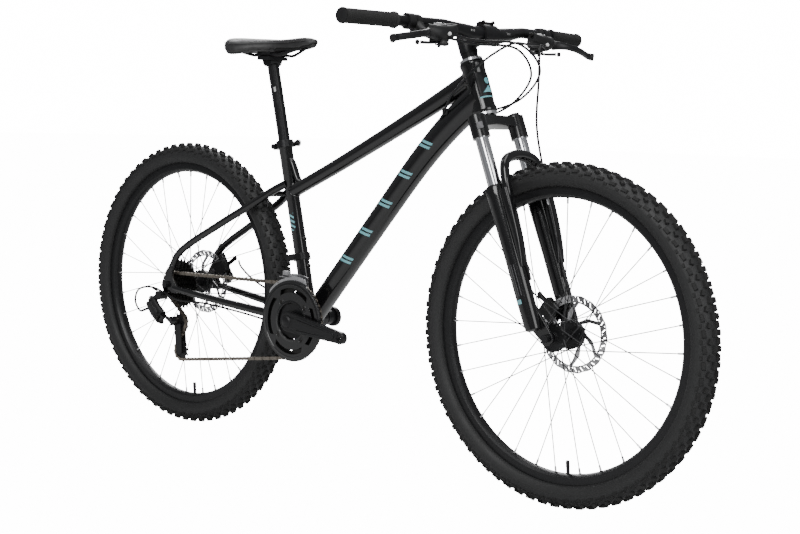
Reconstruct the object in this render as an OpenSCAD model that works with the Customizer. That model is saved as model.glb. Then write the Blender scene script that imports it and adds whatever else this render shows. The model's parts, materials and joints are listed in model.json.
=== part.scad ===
// Hardtail mountain bike with a coil-sprung fork, built from its separate working pieces.
// Millimetres. +X is forward, +Y is the rider's left, +Z is up.
// The origin lies on the ground, midway between the two wheel axles.

/* [Geometry] */
// Distance between the wheel axles
wheelbase = 1130; // [1110:5:1150]
// Height of the bottom bracket above the ground
bb_z = 305; // [300:1:310]
// How far the bottom bracket sits behind the middle of the wheelbase
bb_back = 138; // [134:1:142]
// Angle of the seat tube to the ground
seat_angle = 76; // [75.5:0.25:76.5]
// Angle of the steering axis to the ground
head_angle = 68.5; // [68:0.25:69]
// Distance from the steering axis to the front axle
fork_offset = 40; // [38:1:44]

/* [Wheels] */
// Outer radius of the tyre over its knobs
tyre_r = 349; // [347:1:350]
// Radius of the rim where the tyre bead sits
bead_r = 292; // [291:1:293]
// Outer width of the rim
rim_w = 29; // [27:1:31]
// Number of spokes in each wheel
spoke_n = 32; // [28:4:36]
// Outer radius of the brake rotors
rotor_r = 80; // [78:1:80]

/* [Drivetrain] */
// Crank arm length from spindle to pedal
crank_l = 170; // [165:1:172]
// Angle of the right crank arm below level, pointing forward
crank_drop = 6; // [0:1:12]
// Teeth on the large chainring
ring_teeth = 42; // [42:1:42]
// Teeth on the cog that carries the chain
cog_teeth = 14; // [14:1:14]
// Outer radius of the chainguard
guard_r = 93; // [92:0.5:95]

/* [Cockpit] */
// Overall width of the handlebar
bar_w = 782; // [760:2:790]
// Length of the stem
stem_l = 53; // [50:1:56]
// Length of each grip
grip_l = 132; // [128:1:136]

/* [Fork] */
// Radius of the inner tubes
stanchion_r = 14; // [13.5:0.5:14.5]
// Sideways distance of each fork leg from the centre plane
leg_y = 65; // [63:1:67]
// Distance that the inner tubes sit ahead of the steering axis
leg_n = 22; // [20:1:24]

/* [Saddle] */
// Length of the saddle
saddle_l = 275; // [265:5:280]
// Width of the saddle at the back
saddle_w = 148; // [140:2:155]
// Length of the seatpost
post_l = 350; // [330:10:360]

/* [Hidden] */
$fn = 48;
axle_x = wheelbase / 2;
wheel_z = tyre_r;
bb = [-bb_back, 0, bb_z];
pitch = 12.7;
gap = 0.05;

// Steering frame: local x is ahead of the axis, local z runs up the axis
steer_foot = [axle_x - fork_offset * sin(head_angle), 0, wheel_z - fork_offset * cos(head_angle)];
head_lo = 487;
head_hi = 600;
head_r = 25;
crown_top = 478;
crown_leg_lo = 425;
stanchion_lo = 250;
lower_top = 322;
stem_t = 640;
bar_t = 640;
grip_r = 16;
bar_r = 11.1;
bar_mid_r = 15.9;

// Seat frame: local z runs up the seat tube from the bottom bracket
seat_tube_r = 15.9;
seat_top = 418;
post_r = 13.6;
post_top = 600;
boss_t = [122, 186];

// Frame tube points, as [x, y, z] for the left side
down_tube_r = 24.5;
top_tube_r = 15.5;
stay_pts = [[-222, 15, 612], [-292, 42, 566], [-400, 57, 506], [-520, 66, 437], [-558, 71.6, 375]];
chainstay_pts = [[-150, 24, 305], [-205, 36, 308], [-310, 52, 318], [-430, 64, 330], [-540, 70.5, 342]];
hanger = [-577, 0, 322];

// Front hub and fork dropouts, rear hub and frame dropouts (half widths)
front_drop = 50;
rear_drop = 67.5;
drop_t = 7;
front_rotor_y = 38.7;
rear_rotor_y = 52.2;
rotor_t = 1.8;

// Chain plane and sprockets
chain_y = -57;
cog_step = 4.8;
cog_list = [12, 14, 16, 18, 20, 23, 26, 30];
ring_list = [ring_teeth, 34, 24];
ring_y = [chain_y, -49.2, -41.8];
pulley_teeth = 11;
guide_at = [-531, 258];
cage_l = 70;
link_n = 108;
band_h = 8;
band_t = 0.9;
band_off = 2.1;
roller_r = 3.1;
// How far a sprocket tooth stands above the pitch circle
tooth_h = 1.5;

function pitch_r(n) = pitch / (2 * sin(180 / n));
function steer_pt(n, y, t) = [
    steer_foot.x + n * sin(head_angle) - t * cos(head_angle),
    y,
    steer_foot.z + n * cos(head_angle) + t * sin(head_angle)];
function seat_pt(n, t) = [
    bb.x + n * sin(seat_angle) - t * cos(seat_angle), 0,
    bb.z + n * cos(seat_angle) + t * sin(seat_angle)];
function side(p, s) = [p.x, p.y * s, p.z];

// ---------- placing helpers ----------

// Children drawn in the steering frame
module in_steer() {
    translate(steer_foot) rotate([0, head_angle - 90, 0]) children();
}

// Children drawn in the seat tube frame
module in_seat() {
    translate(bb) rotate([0, seat_angle - 90, 0]) children();
}

// Round bar along Y between two heights on that axis
module ybar(at, y0, y1, r) {
    translate([at.x, max(y0, y1), at.z]) rotate([90, 0, 0]) cylinder(r = r, h = abs(y1 - y0));
}

// Round bar or cone between two points
module rod(p, q, r, r2 = undef) {
    d = q - p;
    len = norm(d);
    translate(p) rotate([0, acos(d.z / len), atan2(d.y, d.x)])
        cylinder(r1 = r, r2 = is_undef(r2) ? r : r2, h = len);
}

// Bent tube through a list of points, with slightly proud balls at its bends
ball_over = 0.35;
module bent_tube(pts, r) {
    last = len(pts) - 1;
    for (i = [0 : last - 1]) rod(pts[i], pts[i + 1], r);
    for (i = [1 : last - 1]) translate(pts[i]) sphere(r = r + ball_over);
}

// Ring turned about the Y axis through a wheel centre, from y0 to y1
module yring(at, y0, y1, r_in, r_out) {
    difference() {
        ybar(at, y0, y1, r_out);
        ybar(at, min(y0, y1) - 1, max(y0, y1) + 1, r_in);
    }
}

// Profile children in (radius, width) turned about the Y axis at a wheel centre
module yturn(at) {
    translate(at) rotate([90, 0, 0]) rotate_extrude($fn = 96) children();
}

// Points along a smooth curve through the given points
function curve_at(p, i, u) =
    let (a = p[max(i - 1, 0)], b = p[i], c = p[i + 1], d = p[min(i + 2, len(p) - 1)])
    0.5 * (2 * b + (c - a) * u + (2 * a - 5 * b + 4 * c - d) * u * u
        + (3 * b - a - 3 * c + d) * u * u * u);
function curve(p, steps) = concat(
    [for (i = [0 : len(p) - 2]) for (k = [0 : steps - 1]) curve_at(p, i, k / steps)],
    [p[len(p) - 1]]);
function unit(v) = v / norm(v);

// Cable of radius r through points, with flat ends
module cable(pts, r, steps = 4, sides = 6) {
    path = curve(pts, steps);
    last = len(path) - 1;
    ref = [0.13, 0.21, 0.97];
    rings = [for (i = [0 : last])
        let (dir = unit(path[min(i + 1, last)] - path[max(i - 1, 0)]),
             u = unit(cross(dir, abs(dir * ref) > 0.9 ? [1, 0, 0] : ref)),
             v = cross(dir, u))
        for (k = [0 : sides - 1]) path[i] + r * (u * cos(360 * k / sides) + v * sin(360 * k / sides))];
    walls = [for (i = [0 : last - 1]) for (k = [0 : sides - 1])
        [i * sides + k, (i + 1) * sides + k, (i + 1) * sides + (k + 1) % sides, i * sides + (k + 1) % sides]];
    ends = [[for (k = [0 : sides - 1]) k], [for (k = [sides - 1 : -1 : 0]) last * sides + k]];
    polyhedron(points = rings, faces = concat(walls, ends));
}

// ---------- frame ----------

down_bend = [212, 0, 724];
down_top = steer_pt(0, 0, 526);
top_front = steer_pt(0, 0, 568);
top_rear = seat_pt(0, 298);
tube_wall = 2;
module frame_tubes() {
    bent_tube([bb, down_bend, down_top], down_tube_r);
    rod(top_rear, top_front, top_tube_r, top_tube_r + 3);
}

// Hollows inside the down tube and the top tube
module tube_hollows() {
    rod(bb + 45 * unit(down_bend - bb), down_bend + 4 * unit(down_bend - bb), down_tube_r - tube_wall);
    rod(down_bend, down_bend + 60 * unit(down_top - down_bend), down_tube_r - tube_wall - 0.5);
    rod(top_rear + 22 * unit(top_front - top_rear), top_front - 32 * unit(top_front - top_rear),
        top_tube_r - tube_wall, top_tube_r + 2.5 - tube_wall);
}

module frame_dropout(s) {
    axle = [-axle_x, 0, wheel_z];
    y0 = s * rear_drop;
    y1 = s * (rear_drop + drop_t);
    ybar(axle, y0, y1, 20.5);
    ybar([-552, 0, 366], y0 + s * 0.3, y1 - s * 0.3, 10);
    if (s < 0) rod([axle.x, y0 - 3.5, axle.z - 8], [hanger.x, y0 - 3.5, hanger.z], 3.4);
    if (s < 0) ybar(hanger, y0, y1, 10);
}

module frame() {
    color([0.05, 0.05, 0.055])
    difference() {
        union() {
            frame_tubes();
            in_steer() translate([0, 0, head_lo]) cylinder(r = head_r, h = head_hi - head_lo);
            in_seat() cylinder(r = seat_tube_r, h = seat_top);
            ybar(bb, -36.5, 36.5, 21);
            in_seat() for (t = boss_t) translate([0, 0, t]) rotate([0, 90, 0]) cylinder(r = 5, h = 19);
            in_seat() translate([14, -6, 300]) cube([20, 12, 62]);
            for (s = [-1, 1]) {
                bent_tube([for (p = stay_pts) side(p, s)], 8.5);
                bent_tube([for (p = chainstay_pts) side(p, s)], 8);
                frame_dropout(s);
            }
            at_rear_caliper() caliper_tab(rear_rotor_y, 38);
        }
        in_steer() translate([0, 0, head_lo - 1]) cylinder(r = 20, h = head_hi - head_lo + 2);
        in_seat() translate([0, 0, 30]) cylinder(r = post_r + gap, h = seat_top);
        in_seat() for (t = boss_t) translate([0, 0, t]) rotate([0, 90, 0]) cylinder(r = 2.5, h = 20);
        ybar(bb, -38, 38, 17.4);
        tube_hollows();
        for (s = [-1, 1]) {
            ybar([-axle_x, 0, wheel_z], s * 60, s * 90, 5.1);
            translate([-axle_x - 4.9, s * 75 - 15, wheel_z - 30]) cube([9.8, 30, 30]);
        }
        ybar(hanger, -60, -90, 5);
    }
}

module headset() {
    color([0.1, 0.1, 0.1]) in_steer() for (e = [0, 1]) {
        z_cup = e == 0 ? head_lo - 6 : head_hi;
        translate([0, 0, z_cup]) difference() {
            cylinder(r = 24, h = 6);
            translate([0, 0, -1]) cylinder(r = 14.4, h = 8);
        }
        translate([0, 0, e == 0 ? head_lo + gap : head_hi - 8 - gap]) difference() {
            cylinder(r = 19.9, h = 8);
            translate([0, 0, -1]) cylinder(r = 14.4, h = 10);
        }
    }
}

module bottom_bracket() {
    color([0.3, 0.3, 0.32]) {
        yring(bb, -36, 36, 12.05, 17.35);
        for (s = [-1, 1]) {
            yring(bb, s * 36.6, s * 39, 12.05, 19.5);
            yring(bb, s * 24, s * 33, 8.55, 12);
        }
    }
}

// Quick-release lever: its eye turns about local X and its blade runs along local Z
module qr_blade(len_a) {
    difference() {
        union() {
            translate([-6, 0, 0]) rotate([0, 90, 0]) cylinder(r = 7.5, h = 12);
            translate([-6, 1.5, 0]) cube([12, 4.5, len_a]);
            translate([0, 6, len_a]) rotate([90, 0, 0]) cylinder(r = 8, h = 4.5);
        }
        translate([-3.2, -10, -9]) cube([6.4, 30, 17]);
        translate([-8, 0, 0]) rotate([0, 90, 0]) cylinder(r = 2.05, h = 16);
    }
}

// Head of a quick-release rod with the pin that its lever turns on
module qr_head(rod_len) {
    translate([-3, 0, 0]) rotate([0, 90, 0]) cylinder(r = 6, h = 6);
    translate([-5.9, 0, 0]) rotate([0, 90, 0]) cylinder(r = 2, h = 11.8);
    rotate([90, 0, 0]) cylinder(r = 2.5, h = rod_len);
}

collar_pin_y = 23;
module seat_collar() {
    color([0.12, 0.12, 0.12]) in_seat() difference() {
        union() {
            translate([0, 0, 404]) cylinder(r = 20, h = 16);
            translate([-31, -9, 405]) cube([14, 18, 14]);
        }
        translate([0, 0, 400]) cylinder(r = seat_tube_r + gap, h = seat_top - 400 + gap);
        translate([0, 0, seat_top - 1]) cylinder(r = post_r + 0.1, h = 5);
        translate([-40, -1, 400]) cube([24, 2, 24]);
        translate([-25, 20, 412]) rotate([90, 0, 0]) cylinder(r = 2.6, h = 40);
    }
    color("silver") in_seat() translate([-25, 0, 412]) {
        translate([0, collar_pin_y, 0]) rotate([0, 90, 0]) qr_head(collar_pin_y + 14);
        translate([0, -9.1, 0]) rotate([90, 0, 0]) cylinder(r = 6, h = 7);
        translate([0, 14, 0]) rotate([90, 0, 0]) cylinder(r = 6, h = 4.9);
    }
}

module collar_lever() {
    color([0.75, 0.75, 0.77])
        in_seat() translate([-25, collar_pin_y, 412]) rotate([0, 90, 0]) qr_blade(42);
}

// ---------- seatpost and saddle ----------

saddle_x = -276;
saddle_z = 957;
clamp_at = seat_pt(0, post_top + 12);
rail_z = clamp_at.z + 12;
rail_y = 22;

module seatpost() {
    color([0.06, 0.06, 0.06]) {
        in_seat() difference() {
            translate([0, 0, post_top - post_l]) cylinder(r = post_r, h = post_l);
            translate([0, 0, post_top - post_l - 1]) cylinder(r = post_r - 2.2, h = post_l - 20);
        }
        intersection() {
            ybar(clamp_at, -18, 18, 15);
            translate([clamp_at.x - 40, -20, clamp_at.z - 40]) cube([80, 40, 40]);
        }
    }
}

// Steel rail: flat under the clamp, then rising to the nose and to the tail
module saddle_rail(s) {
    nose = [saddle_x + saddle_l / 2 - 45, s * 8, saddle_z - 29.5];
    tail = [saddle_x - saddle_l / 2 + 28, s * 34, saddle_z - 33];
    bend_f = [clamp_at.x + 50, s * rail_y, rail_z];
    bend_r = [clamp_at.x - 45, s * rail_y, rail_z];
    grip_r = bend_r + [20, 0, 0];
    grip_f = bend_f - [24, 0, 0];
    cable([tail, bend_r, grip_r, grip_f, bend_f, nose], 3.5, 3, 16);
}

module saddle_clamp() {
    x = clamp_at.x;
    color([0.08, 0.08, 0.08]) {
        difference() {
            translate([x - 20, -30, clamp_at.z + 0.2]) cube([40, 60, 8.2]);
            for (s = [-1, 1]) rod([x - 30, s * rail_y, rail_z], [x + 30, s * rail_y, rail_z], 3.6);
        }
        difference() {
            translate([x - 20, -30, rail_z + 0.8]) cube([40, 60, 7]);
            for (s = [-1, 1]) rod([x - 30, s * rail_y, rail_z], [x + 30, s * rail_y, rail_z], 3.6);
        }
        for (s = [-1, 1]) saddle_rail(s);
    }
    color("silver") ybar([clamp_at.x, 0, rail_z + 0.4], -8, 8, 3);
}

// Half width of the saddle at u, from 0 at the tail to 1 at the nose
function saddle_half(u) = saddle_w / 2 * (u < 0.25
    ? 0.86 + 0.14 * sin(180 * u / 0.5)
    : 0.27 + 0.73 * pow(cos(90 * (u - 0.25) / 0.75), 1.6));
// Height of the saddle top over its level line at u
function saddle_top(u) = 4 * cos(360 * u) - 3;

module saddle_slab(low, high, inset) {
    steps = 12;
    for (i = [0 : steps - 1]) {
        u = (i + 0.5) / steps;
        x0 = saddle_x - saddle_l / 2 + saddle_l * i / steps;
        w = saddle_half(u) - inset;
        translate([x0, -w, saddle_z + saddle_top(u) + low]) cube([saddle_l / steps + 0.01, 2 * w, high - low]);
    }
}

module saddle_base() {
    color([0.1, 0.1, 0.1]) saddle_slab(-23, -19.2, 6);
}

module saddle_cover() {
    color([0.07, 0.07, 0.07]) saddle_slab(-17, 0, 0);
}

// ---------- fork ----------

module leg_pair(t0, t1, r) {
    for (s = [-1, 1]) translate([leg_n, s * leg_y, t0]) cylinder(r = r, h = t1 - t0);
}

module fork_crown() {
    color([0.06, 0.06, 0.06]) in_steer() difference() {
        union() {
            translate([0, 0, 456]) cylinder(r = 22, h = crown_top - 456);
            hull() {
                translate([4, 0, 458]) cylinder(r = 20, h = 18, $fn = 32);
                translate([leg_n - 2, leg_y - 14, 450]) cylinder(r = 13, h = 20, $fn = 32);
            }
            hull() {
                translate([4, 0, 458]) cylinder(r = 20, h = 18, $fn = 32);
                translate([leg_n - 2, 14 - leg_y, 450]) cylinder(r = 13, h = 20, $fn = 32);
            }
            leg_pair(crown_leg_lo, 472, 18.5);
            translate([0, 0, crown_top]) cylinder(r = 17, h = 2.8);
        }
        leg_pair(crown_leg_lo - 1, 466, stanchion_r);
    }
    color("silver") in_steer() difference() {
        translate([0, 0, 470]) cylinder(r = 14.3, h = stem_t + 18 - 470);
        translate([0, 0, 469]) cylinder(r = 11.5, h = stem_t + 20 - 469);
    }
}

module fork_stanchions() {
    color([0.85, 0.86, 0.88]) in_steer() difference() {
        leg_pair(stanchion_lo, 466, stanchion_r);
        leg_pair(stanchion_lo - 1, 464, stanchion_r - 2);
    }
}

// Arch that ties the two lower legs together, ahead of the crown
arch_n = 41.5;
arch_t = 13;
module fork_arch() {
    outer = [[-70, 262], [-70, 304], [-54, 350], [-34, 380], [-14, 386],
             [14, 386], [34, 380], [54, 350], [70, 304], [70, 262]];
    inner = [[-47, 261], [-47, 300], [-38, 340], [-26, 360], [-10, 365],
             [10, 365], [26, 360], [38, 340], [47, 300], [47, 261]];
    translate([arch_n, 0, 0]) rotate([90, 0, 90]) linear_extrude(arch_t) difference() {
        polygon(outer);
        polygon(inner);
    }
    for (s = [-1, 1]) translate([leg_n + 2, s * leg_y - 9, 262]) cube([arch_n - leg_n + 9, 18, 40]);
}

module fork_lowers() {
    color([0.05, 0.05, 0.05]) in_steer() difference() {
        union() {
            leg_pair(24, 300, 19);
            leg_pair(300, lower_top, 20.5);
            fork_arch();
            for (s = [-1, 1]) {
                hull() {
                    translate([leg_n, s * (front_drop + drop_t), 45]) rotate([s * 90, 0, 0])
                        cylinder(r = 14, h = drop_t, $fn = 32);
                    translate([fork_offset, s * (front_drop + drop_t), 0]) rotate([s * 90, 0, 0])
                        cylinder(r = 13, h = drop_t, $fn = 32);
                }
            }
            at_front_caliper() caliper_tab(front_rotor_y, 34);
        }
        leg_pair(140, lower_top + 1, stanchion_r + gap);
        for (s = [-1, 1]) {
            translate([fork_offset, s * 40, 0]) rotate([-s * 90, 0, 0]) cylinder(r = 4.6, h = 60);
            translate([fork_offset - 4.6, s * 60 - 20, -30]) cube([9.2, 40, 30]);
        }
    }
    color([0.05, 0.05, 0.05]) in_steer() leg_pair(139, stanchion_lo, 5);
    color([0.1, 0.1, 0.1]) in_steer() difference() {
        leg_pair(lower_top, lower_top + 2.4, 17.5);
        leg_pair(lower_top - 1, lower_top + 6, stanchion_r + gap);
    }
}

module fork_spring() {
    turns = 9;
    coil = [for (i = [0 : turns * 12])
        [leg_n + 9 * cos(30 * i), leg_y + 9 * sin(30 * i), stanchion_lo + 3 + 190 * i / (turns * 12)]];
    color([0.5, 0.5, 0.5]) in_steer() {
        cable(coil, 1.6, 1, 6);
        translate([leg_n, -leg_y, stanchion_lo + 105]) cylinder(r = 10, h = 80);
    }
}

module preload_knob() {
    color([0.07, 0.07, 0.07]) in_steer() translate([leg_n, leg_y, 472.1]) {
        cylinder(r = 11, h = 7);
        for (k = [0 : 5]) rotate(60 * k) translate([10, -2, 0]) cube([2.5, 4, 7]);
    }
}

// ---------- cockpit ----------

function bar_pt(y) = let (a = abs(y))
    a < 45 ? steer_pt(stem_l, y, bar_t)
    : a < 130 ? steer_pt(stem_l - 1.5 * (a - 45) / 85, y, bar_t + 14 * (a - 45) / 85)
    : steer_pt(stem_l - 1.5 - 33 * (a - 130) / 261, y, bar_t + 14 + 13 * (a - 130) / 261);

module stem() {
    color([0.06, 0.06, 0.06]) in_steer() difference() {
        union() {
            translate([0, 0, stem_t - 20]) cylinder(r = 19, h = 38);
            translate([0, 0, head_hi + 6.1]) cylinder(r = 17.5, h = stem_t - 20 - head_hi - 6.1);
            translate([0, 0, stem_t + 18.1]) cylinder(r = 17, h = 5);
            translate([stem_l - 20, 0, bar_t]) rotate([0, -90, 0]) cylinder(r = 15, h = stem_l - 30);
            translate([stem_l, 22, bar_t]) rotate([90, 0, 0]) cylinder(r = 21, h = 44);
            translate([stem_l, -22, bar_t - 25]) cube([10, 44, 50]);
        }
        translate([0, 0, head_hi]) cylinder(r = 14.35, h = stem_t + 18 - head_hi);
        translate([stem_l, 30, bar_t]) rotate([90, 0, 0]) cylinder(r = bar_mid_r + gap, h = 60);
        translate([stem_l + 2, -30, bar_t - 30]) cube([0.8, 60, 60]);
        for (y = [-16, 16]) for (t = [-21.4, 21.4])
            translate([stem_l - 4, y, bar_t + t]) rotate([0, 90, 0]) cylinder(r = 2.6, h = 20);
        translate([0, 0, stem_t]) cylinder(r = 3.1, h = 40);
    }
}

module stem_bolts() {
    color([0.2, 0.2, 0.2]) in_steer() {
        for (y = [-16, 16]) for (t = [-21.4, 21.4]) translate([stem_l - 3, y, bar_t + t]) rotate([0, 90, 0]) {
            cylinder(r = 2.5, h = 16);
            translate([0, 0, 14.9]) cylinder(r = 4, h = 4.5);
        }
        translate([0, 0, stem_t + 2]) cylinder(r = 3, h = 22);
        translate([0, 0, stem_t + 23.2]) cylinder(r = 5, h = 3);
    }
}

module handlebar() {
    color([0.07, 0.07, 0.07]) {
        rod(bar_pt(-45), bar_pt(45), bar_mid_r);
        for (s = [-1, 1]) {
            rod(bar_pt(s * 38), bar_pt(s * 130), 15.5, bar_r);
            rod(bar_pt(s * 130), bar_pt(s * (bar_w / 2 - 3)), bar_r);
            translate(bar_pt(s * 130)) sphere(r = bar_r + ball_over);
        }
    }
}

module grips() {
    color([0.08, 0.08, 0.08]) for (s = [-1, 1]) difference() {
        union() {
            rod(bar_pt(s * (bar_w / 2 - grip_l)), bar_pt(s * bar_w / 2), grip_r - 0.8);
            rod(bar_pt(s * (bar_w / 2 - grip_l)), bar_pt(s * (bar_w / 2 - grip_l + 5)), grip_r + 2);
            rod(bar_pt(s * (bar_w / 2 - 6)), bar_pt(s * bar_w / 2), grip_r);
        }
        rod(bar_pt(s * 200), bar_pt(s * (bar_w / 2 - 3)), bar_r + gap);
    }
}

// Places of the hand controls, measured from the bar at each side
pod_y = 222;
lever_at = [36, 212, -22];
shift_at = [26, 168, -36];
function from_bar(s, p) = let (b = bar_pt(s * p.y)) [b.x + p.x, b.y, b.z + p.z];

module control_pod(s) {
    piv = from_bar(s, lever_at);
    shift = from_bar(s, shift_at);
    mid = from_bar(s, [20, 200, -22]);
    difference() {
        union() {
            rod(bar_pt(s * (pod_y - 8)), bar_pt(s * (pod_y + 8)), 16);
            translate([piv.x - 20, piv.y - 9, piv.z - 7]) cube([26, 18, 14]);
            translate([mid.x - 12, mid.y - 32, mid.z - 7]) cube([18, 62, 13]);
            translate([shift.x, shift.y, shift.z]) cylinder(r = 20, h = 23);
        }
        rod(bar_pt(s * 140), bar_pt(s * 250), bar_r + gap);
        translate([piv.x - 7.5, piv.y - 20, piv.z - 4.2]) cube([40, 40, 8.4]);
    }
    translate([piv.x, piv.y, piv.z - 7]) cylinder(r = 2.5, h = 14);
    translate([shift.x, shift.y, shift.z - 12]) cylinder(r = 3, h = 13);
}

module control_pods() {
    color([0.06, 0.06, 0.06]) for (s = [-1, 1]) control_pod(s);
}

module brake_lever(s) {
    piv = from_bar(s, lever_at);
    elbow = [piv.x + 26, piv.y + s * 30, piv.z - 3];
    mid = [piv.x + 24, piv.y + s * 75, piv.z - 12];
    tip = [piv.x + 16, piv.y + s * 122, piv.z - 17];
    color([0.08, 0.08, 0.08]) difference() {
        union() {
            translate([piv.x, piv.y, piv.z - 3]) cylinder(r = 6.5, h = 6);
            rod([piv.x + 3, piv.y + s * 3, piv.z], elbow, 2.9, 4.5);
            translate(elbow) sphere(r = 4.5 + ball_over);
            rod(elbow, mid, 4.5);
            translate(mid) sphere(r = 4.5 + ball_over);
            rod(mid, tip, 4.5, 5);
            translate(tip) sphere(r = 5.5);
        }
        translate([piv.x, piv.y, piv.z - 10]) cylinder(r = 2.55, h = 20);
    }
}
module brake_lever_left() { brake_lever(1); }
module brake_lever_right() { brake_lever(-1); }

// Flat finger lever with an eye at the shifter pin and a pad at its tip
module finger_lever(s, z0, eye_r, tip) {
    at = from_bar(s, shift_at);
    len = norm(tip);
    color([0.1, 0.1, 0.1]) translate([at.x, at.y, at.z + z0]) difference() {
        union() {
            cylinder(r = eye_r, h = 3);
            rotate(atan2(s * tip.y, tip.x)) translate([0, -4, 0]) cube([len, 8, 3]);
            translate([tip.x, s * tip.y, 0]) cylinder(r = 7, h = 3);
        }
        translate([0, 0, -1]) cylinder(r = 3.05, h = 5);
    }
}
module thumb_lever_left() { finger_lever(1, -4, 10, [-32, 26]); }
module thumb_lever_right() { finger_lever(-1, -4, 10, [-32, 26]); }
module trigger_left() { finger_lever(1, -8, 8, [34, 24]); }
module trigger_right() { finger_lever(-1, -8, 8, [34, 24]); }

// ---------- wheels ----------

front_axle_at = [axle_x, 0, wheel_z];
rear_axle_at = [-axle_x, 0, wheel_z];
tyre_c = 319;
flange_r = 26.5;

module wheel_rim(at) {
    w = rim_w / 2;
    color([0.05, 0.05, 0.05]) difference() {
        yturn(at) difference() {
            polygon([[bead_r - 11, -w], [bead_r + 7.5, -w], [bead_r + 7.5, 3 - w], [bead_r, 3 - w],
                     [bead_r, w - 3], [bead_r + 7.5, w - 3], [bead_r + 7.5, w], [bead_r - 11, w],
                     [bead_r - 15, 8], [bead_r - 15, -8]]);
            polygon([[bead_r - 10, -w + 2], [bead_r - 2, 3.2 - w], [bead_r - 2, w - 3.2],
                     [bead_r - 10, w - 2], [bead_r - 13, 7], [bead_r - 13, -7]]);
        }
        translate(at) rotate([0, valve_turn, 0]) cylinder(r = 4.3, h = 310);
    }
}

// Tyre casing, the inner tube inside it and the tube's valve through the rim
valve_turn = 174.375;
module wheel_tyre(at) {
    color([0.08, 0.08, 0.08]) {
        yturn(at) difference() {
            union() {
                intersection() {
                    translate([tyre_c, 0]) circle(r = 27.2);
                    translate([bead_r + 8, -40]) square([80, 80]);
                }
                intersection() {
                    translate([tyre_c, 0]) circle(r = tyre_r - tyre_c);
                    translate([332, -40]) square([40, 80]);
                }
                for (s = [-1, 1]) translate([bead_r + 8, s * 12.5 - 5]) square([4, 10]);
                for (s = [-1, 1]) translate([bead_r + 0.1, s * 9.7 - 1.7]) square([9, 3.4]);
            }
            intersection() {
                translate([tyre_c, 0]) circle(r = 24.5);
                translate([bead_r + 11, -40]) square([80, 80]);
            }
        }
        difference() {
            union() {
                yturn(at) translate([tyre_c + 4, 0]) circle(r = 19);
                translate(at) rotate([0, valve_turn, 0]) translate([0, 0, 250]) cylinder(r = 3.85, h = 13);
                translate(at) rotate([0, valve_turn, 0]) translate([0, 0, 262]) cylinder(r = 4.05, h = 45);
            }
            yturn(at) translate([tyre_c + 4, 0]) circle(r = 17.9);
        }
    }
}

// Laced spokes with their nipples; each flange holds half of them, crossing three others
module wheel_spokes(at, left_y, right_y) {
    step = 360 / spoke_n;
    lead = 6 * step;
    color([0.6, 0.6, 0.6]) translate(at) for (i = [0 : spoke_n - 1]) {
        y_flange = i % 2 == 0 ? right_y : left_y;
        out = floor(i / 2) % 2 == 0 ? -1 : 1;
        rim_a = i * step;
        hub_a = rim_a + out * lead;
        y_rim = i % 2 == 0 ? -2.5 : 2.5;
        hub_p = [flange_r * cos(hub_a), y_flange + out * sign(y_flange) * 2.3, flange_r * sin(hub_a)];
        rim_p = [(bead_r - 9) * cos(rim_a), y_rim, (bead_r - 9) * sin(rim_a)];
        rod(hub_p, rim_p, 0.9);
        rod(rim_p + 16 * unit(hub_p - rim_p), rim_p, 2.1);
    }
}

module rotor_disc(at, y0) {
    c = [at.x, y0, at.z];
    color([0.7, 0.7, 0.72]) {
        difference() {
            yring(at, y0, y0 + rotor_t, 17.6, rotor_r);
            yring(at, y0 - 1, y0 + 3, 30, rotor_r - 16);
        }
        difference() {
            for (k = [0 : 5]) translate(c) rotate([0, 60 * k, 0])
                translate([27, 0.1, 0]) rotate([0, 34, 0]) translate([0, 0, -5])
                    cube([42, rotor_t - 0.2, 8]);
            yring(at, y0 - 1, y0 + 3, rotor_r - 2, rotor_r + 30);
            ybar(at, y0 - 1, y0 + 3, 20);
        }
    }
    color("silver") for (k = [0 : 5])
        ybar(at + 22 * [cos(60 * k), 0, sin(60 * k)], y0 + rotor_t + gap, y0 + 4.4, 4.2);
}

module front_hub() {
    at = front_axle_at;
    color([0.05, 0.05, 0.05]) difference() {
        union() {
            ybar(at, -40, 38.6, 11);
            for (y = [-33, 24]) ybar(at, y - 1.4, y + 1.4, flange_r + 3);
            ybar(at, 30, 38.6, 27);
            ybar(at, 38, front_rotor_y + 4, 17.5);
        }
        ybar(at, -50, 50, 9);
    }
    color("silver") for (s = [-1, 1]) yring(at, s * 28, s * 36, 4.55, 8.95);
}

module rear_hub() {
    at = rear_axle_at;
    color([0.05, 0.05, 0.05]) difference() {
        union() {
            ybar(at, -26, 52.1, 13);
            ybar(at, -42, -20, 12);
            for (y = [-21, 36]) ybar(at, y - 1.4, y + 1.4, flange_r + 3);
            ybar(at, 43, 52.1, 27);
            ybar(at, 50, rear_rotor_y + 4, 17.5);
        }
        ybar(at, -60, 60, 9.5);
    }
    color("silver") for (y = [-38, 40]) yring(at, y - 4, y + 4, 5.05, 9.45);
}

module front_rim() { wheel_rim(front_axle_at); }
module rear_rim() { wheel_rim(rear_axle_at); }
module front_tyre() { wheel_tyre(front_axle_at); }
module rear_tyre() { wheel_tyre(rear_axle_at); }
module front_spokes() { wheel_spokes(front_axle_at, 24, -33); }
module rear_spokes() { wheel_spokes(rear_axle_at, 36, -21); }
module front_rotor() { rotor_disc(front_axle_at, front_rotor_y); }
module rear_rotor() { rotor_disc(rear_axle_at, rear_rotor_y); }

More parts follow.
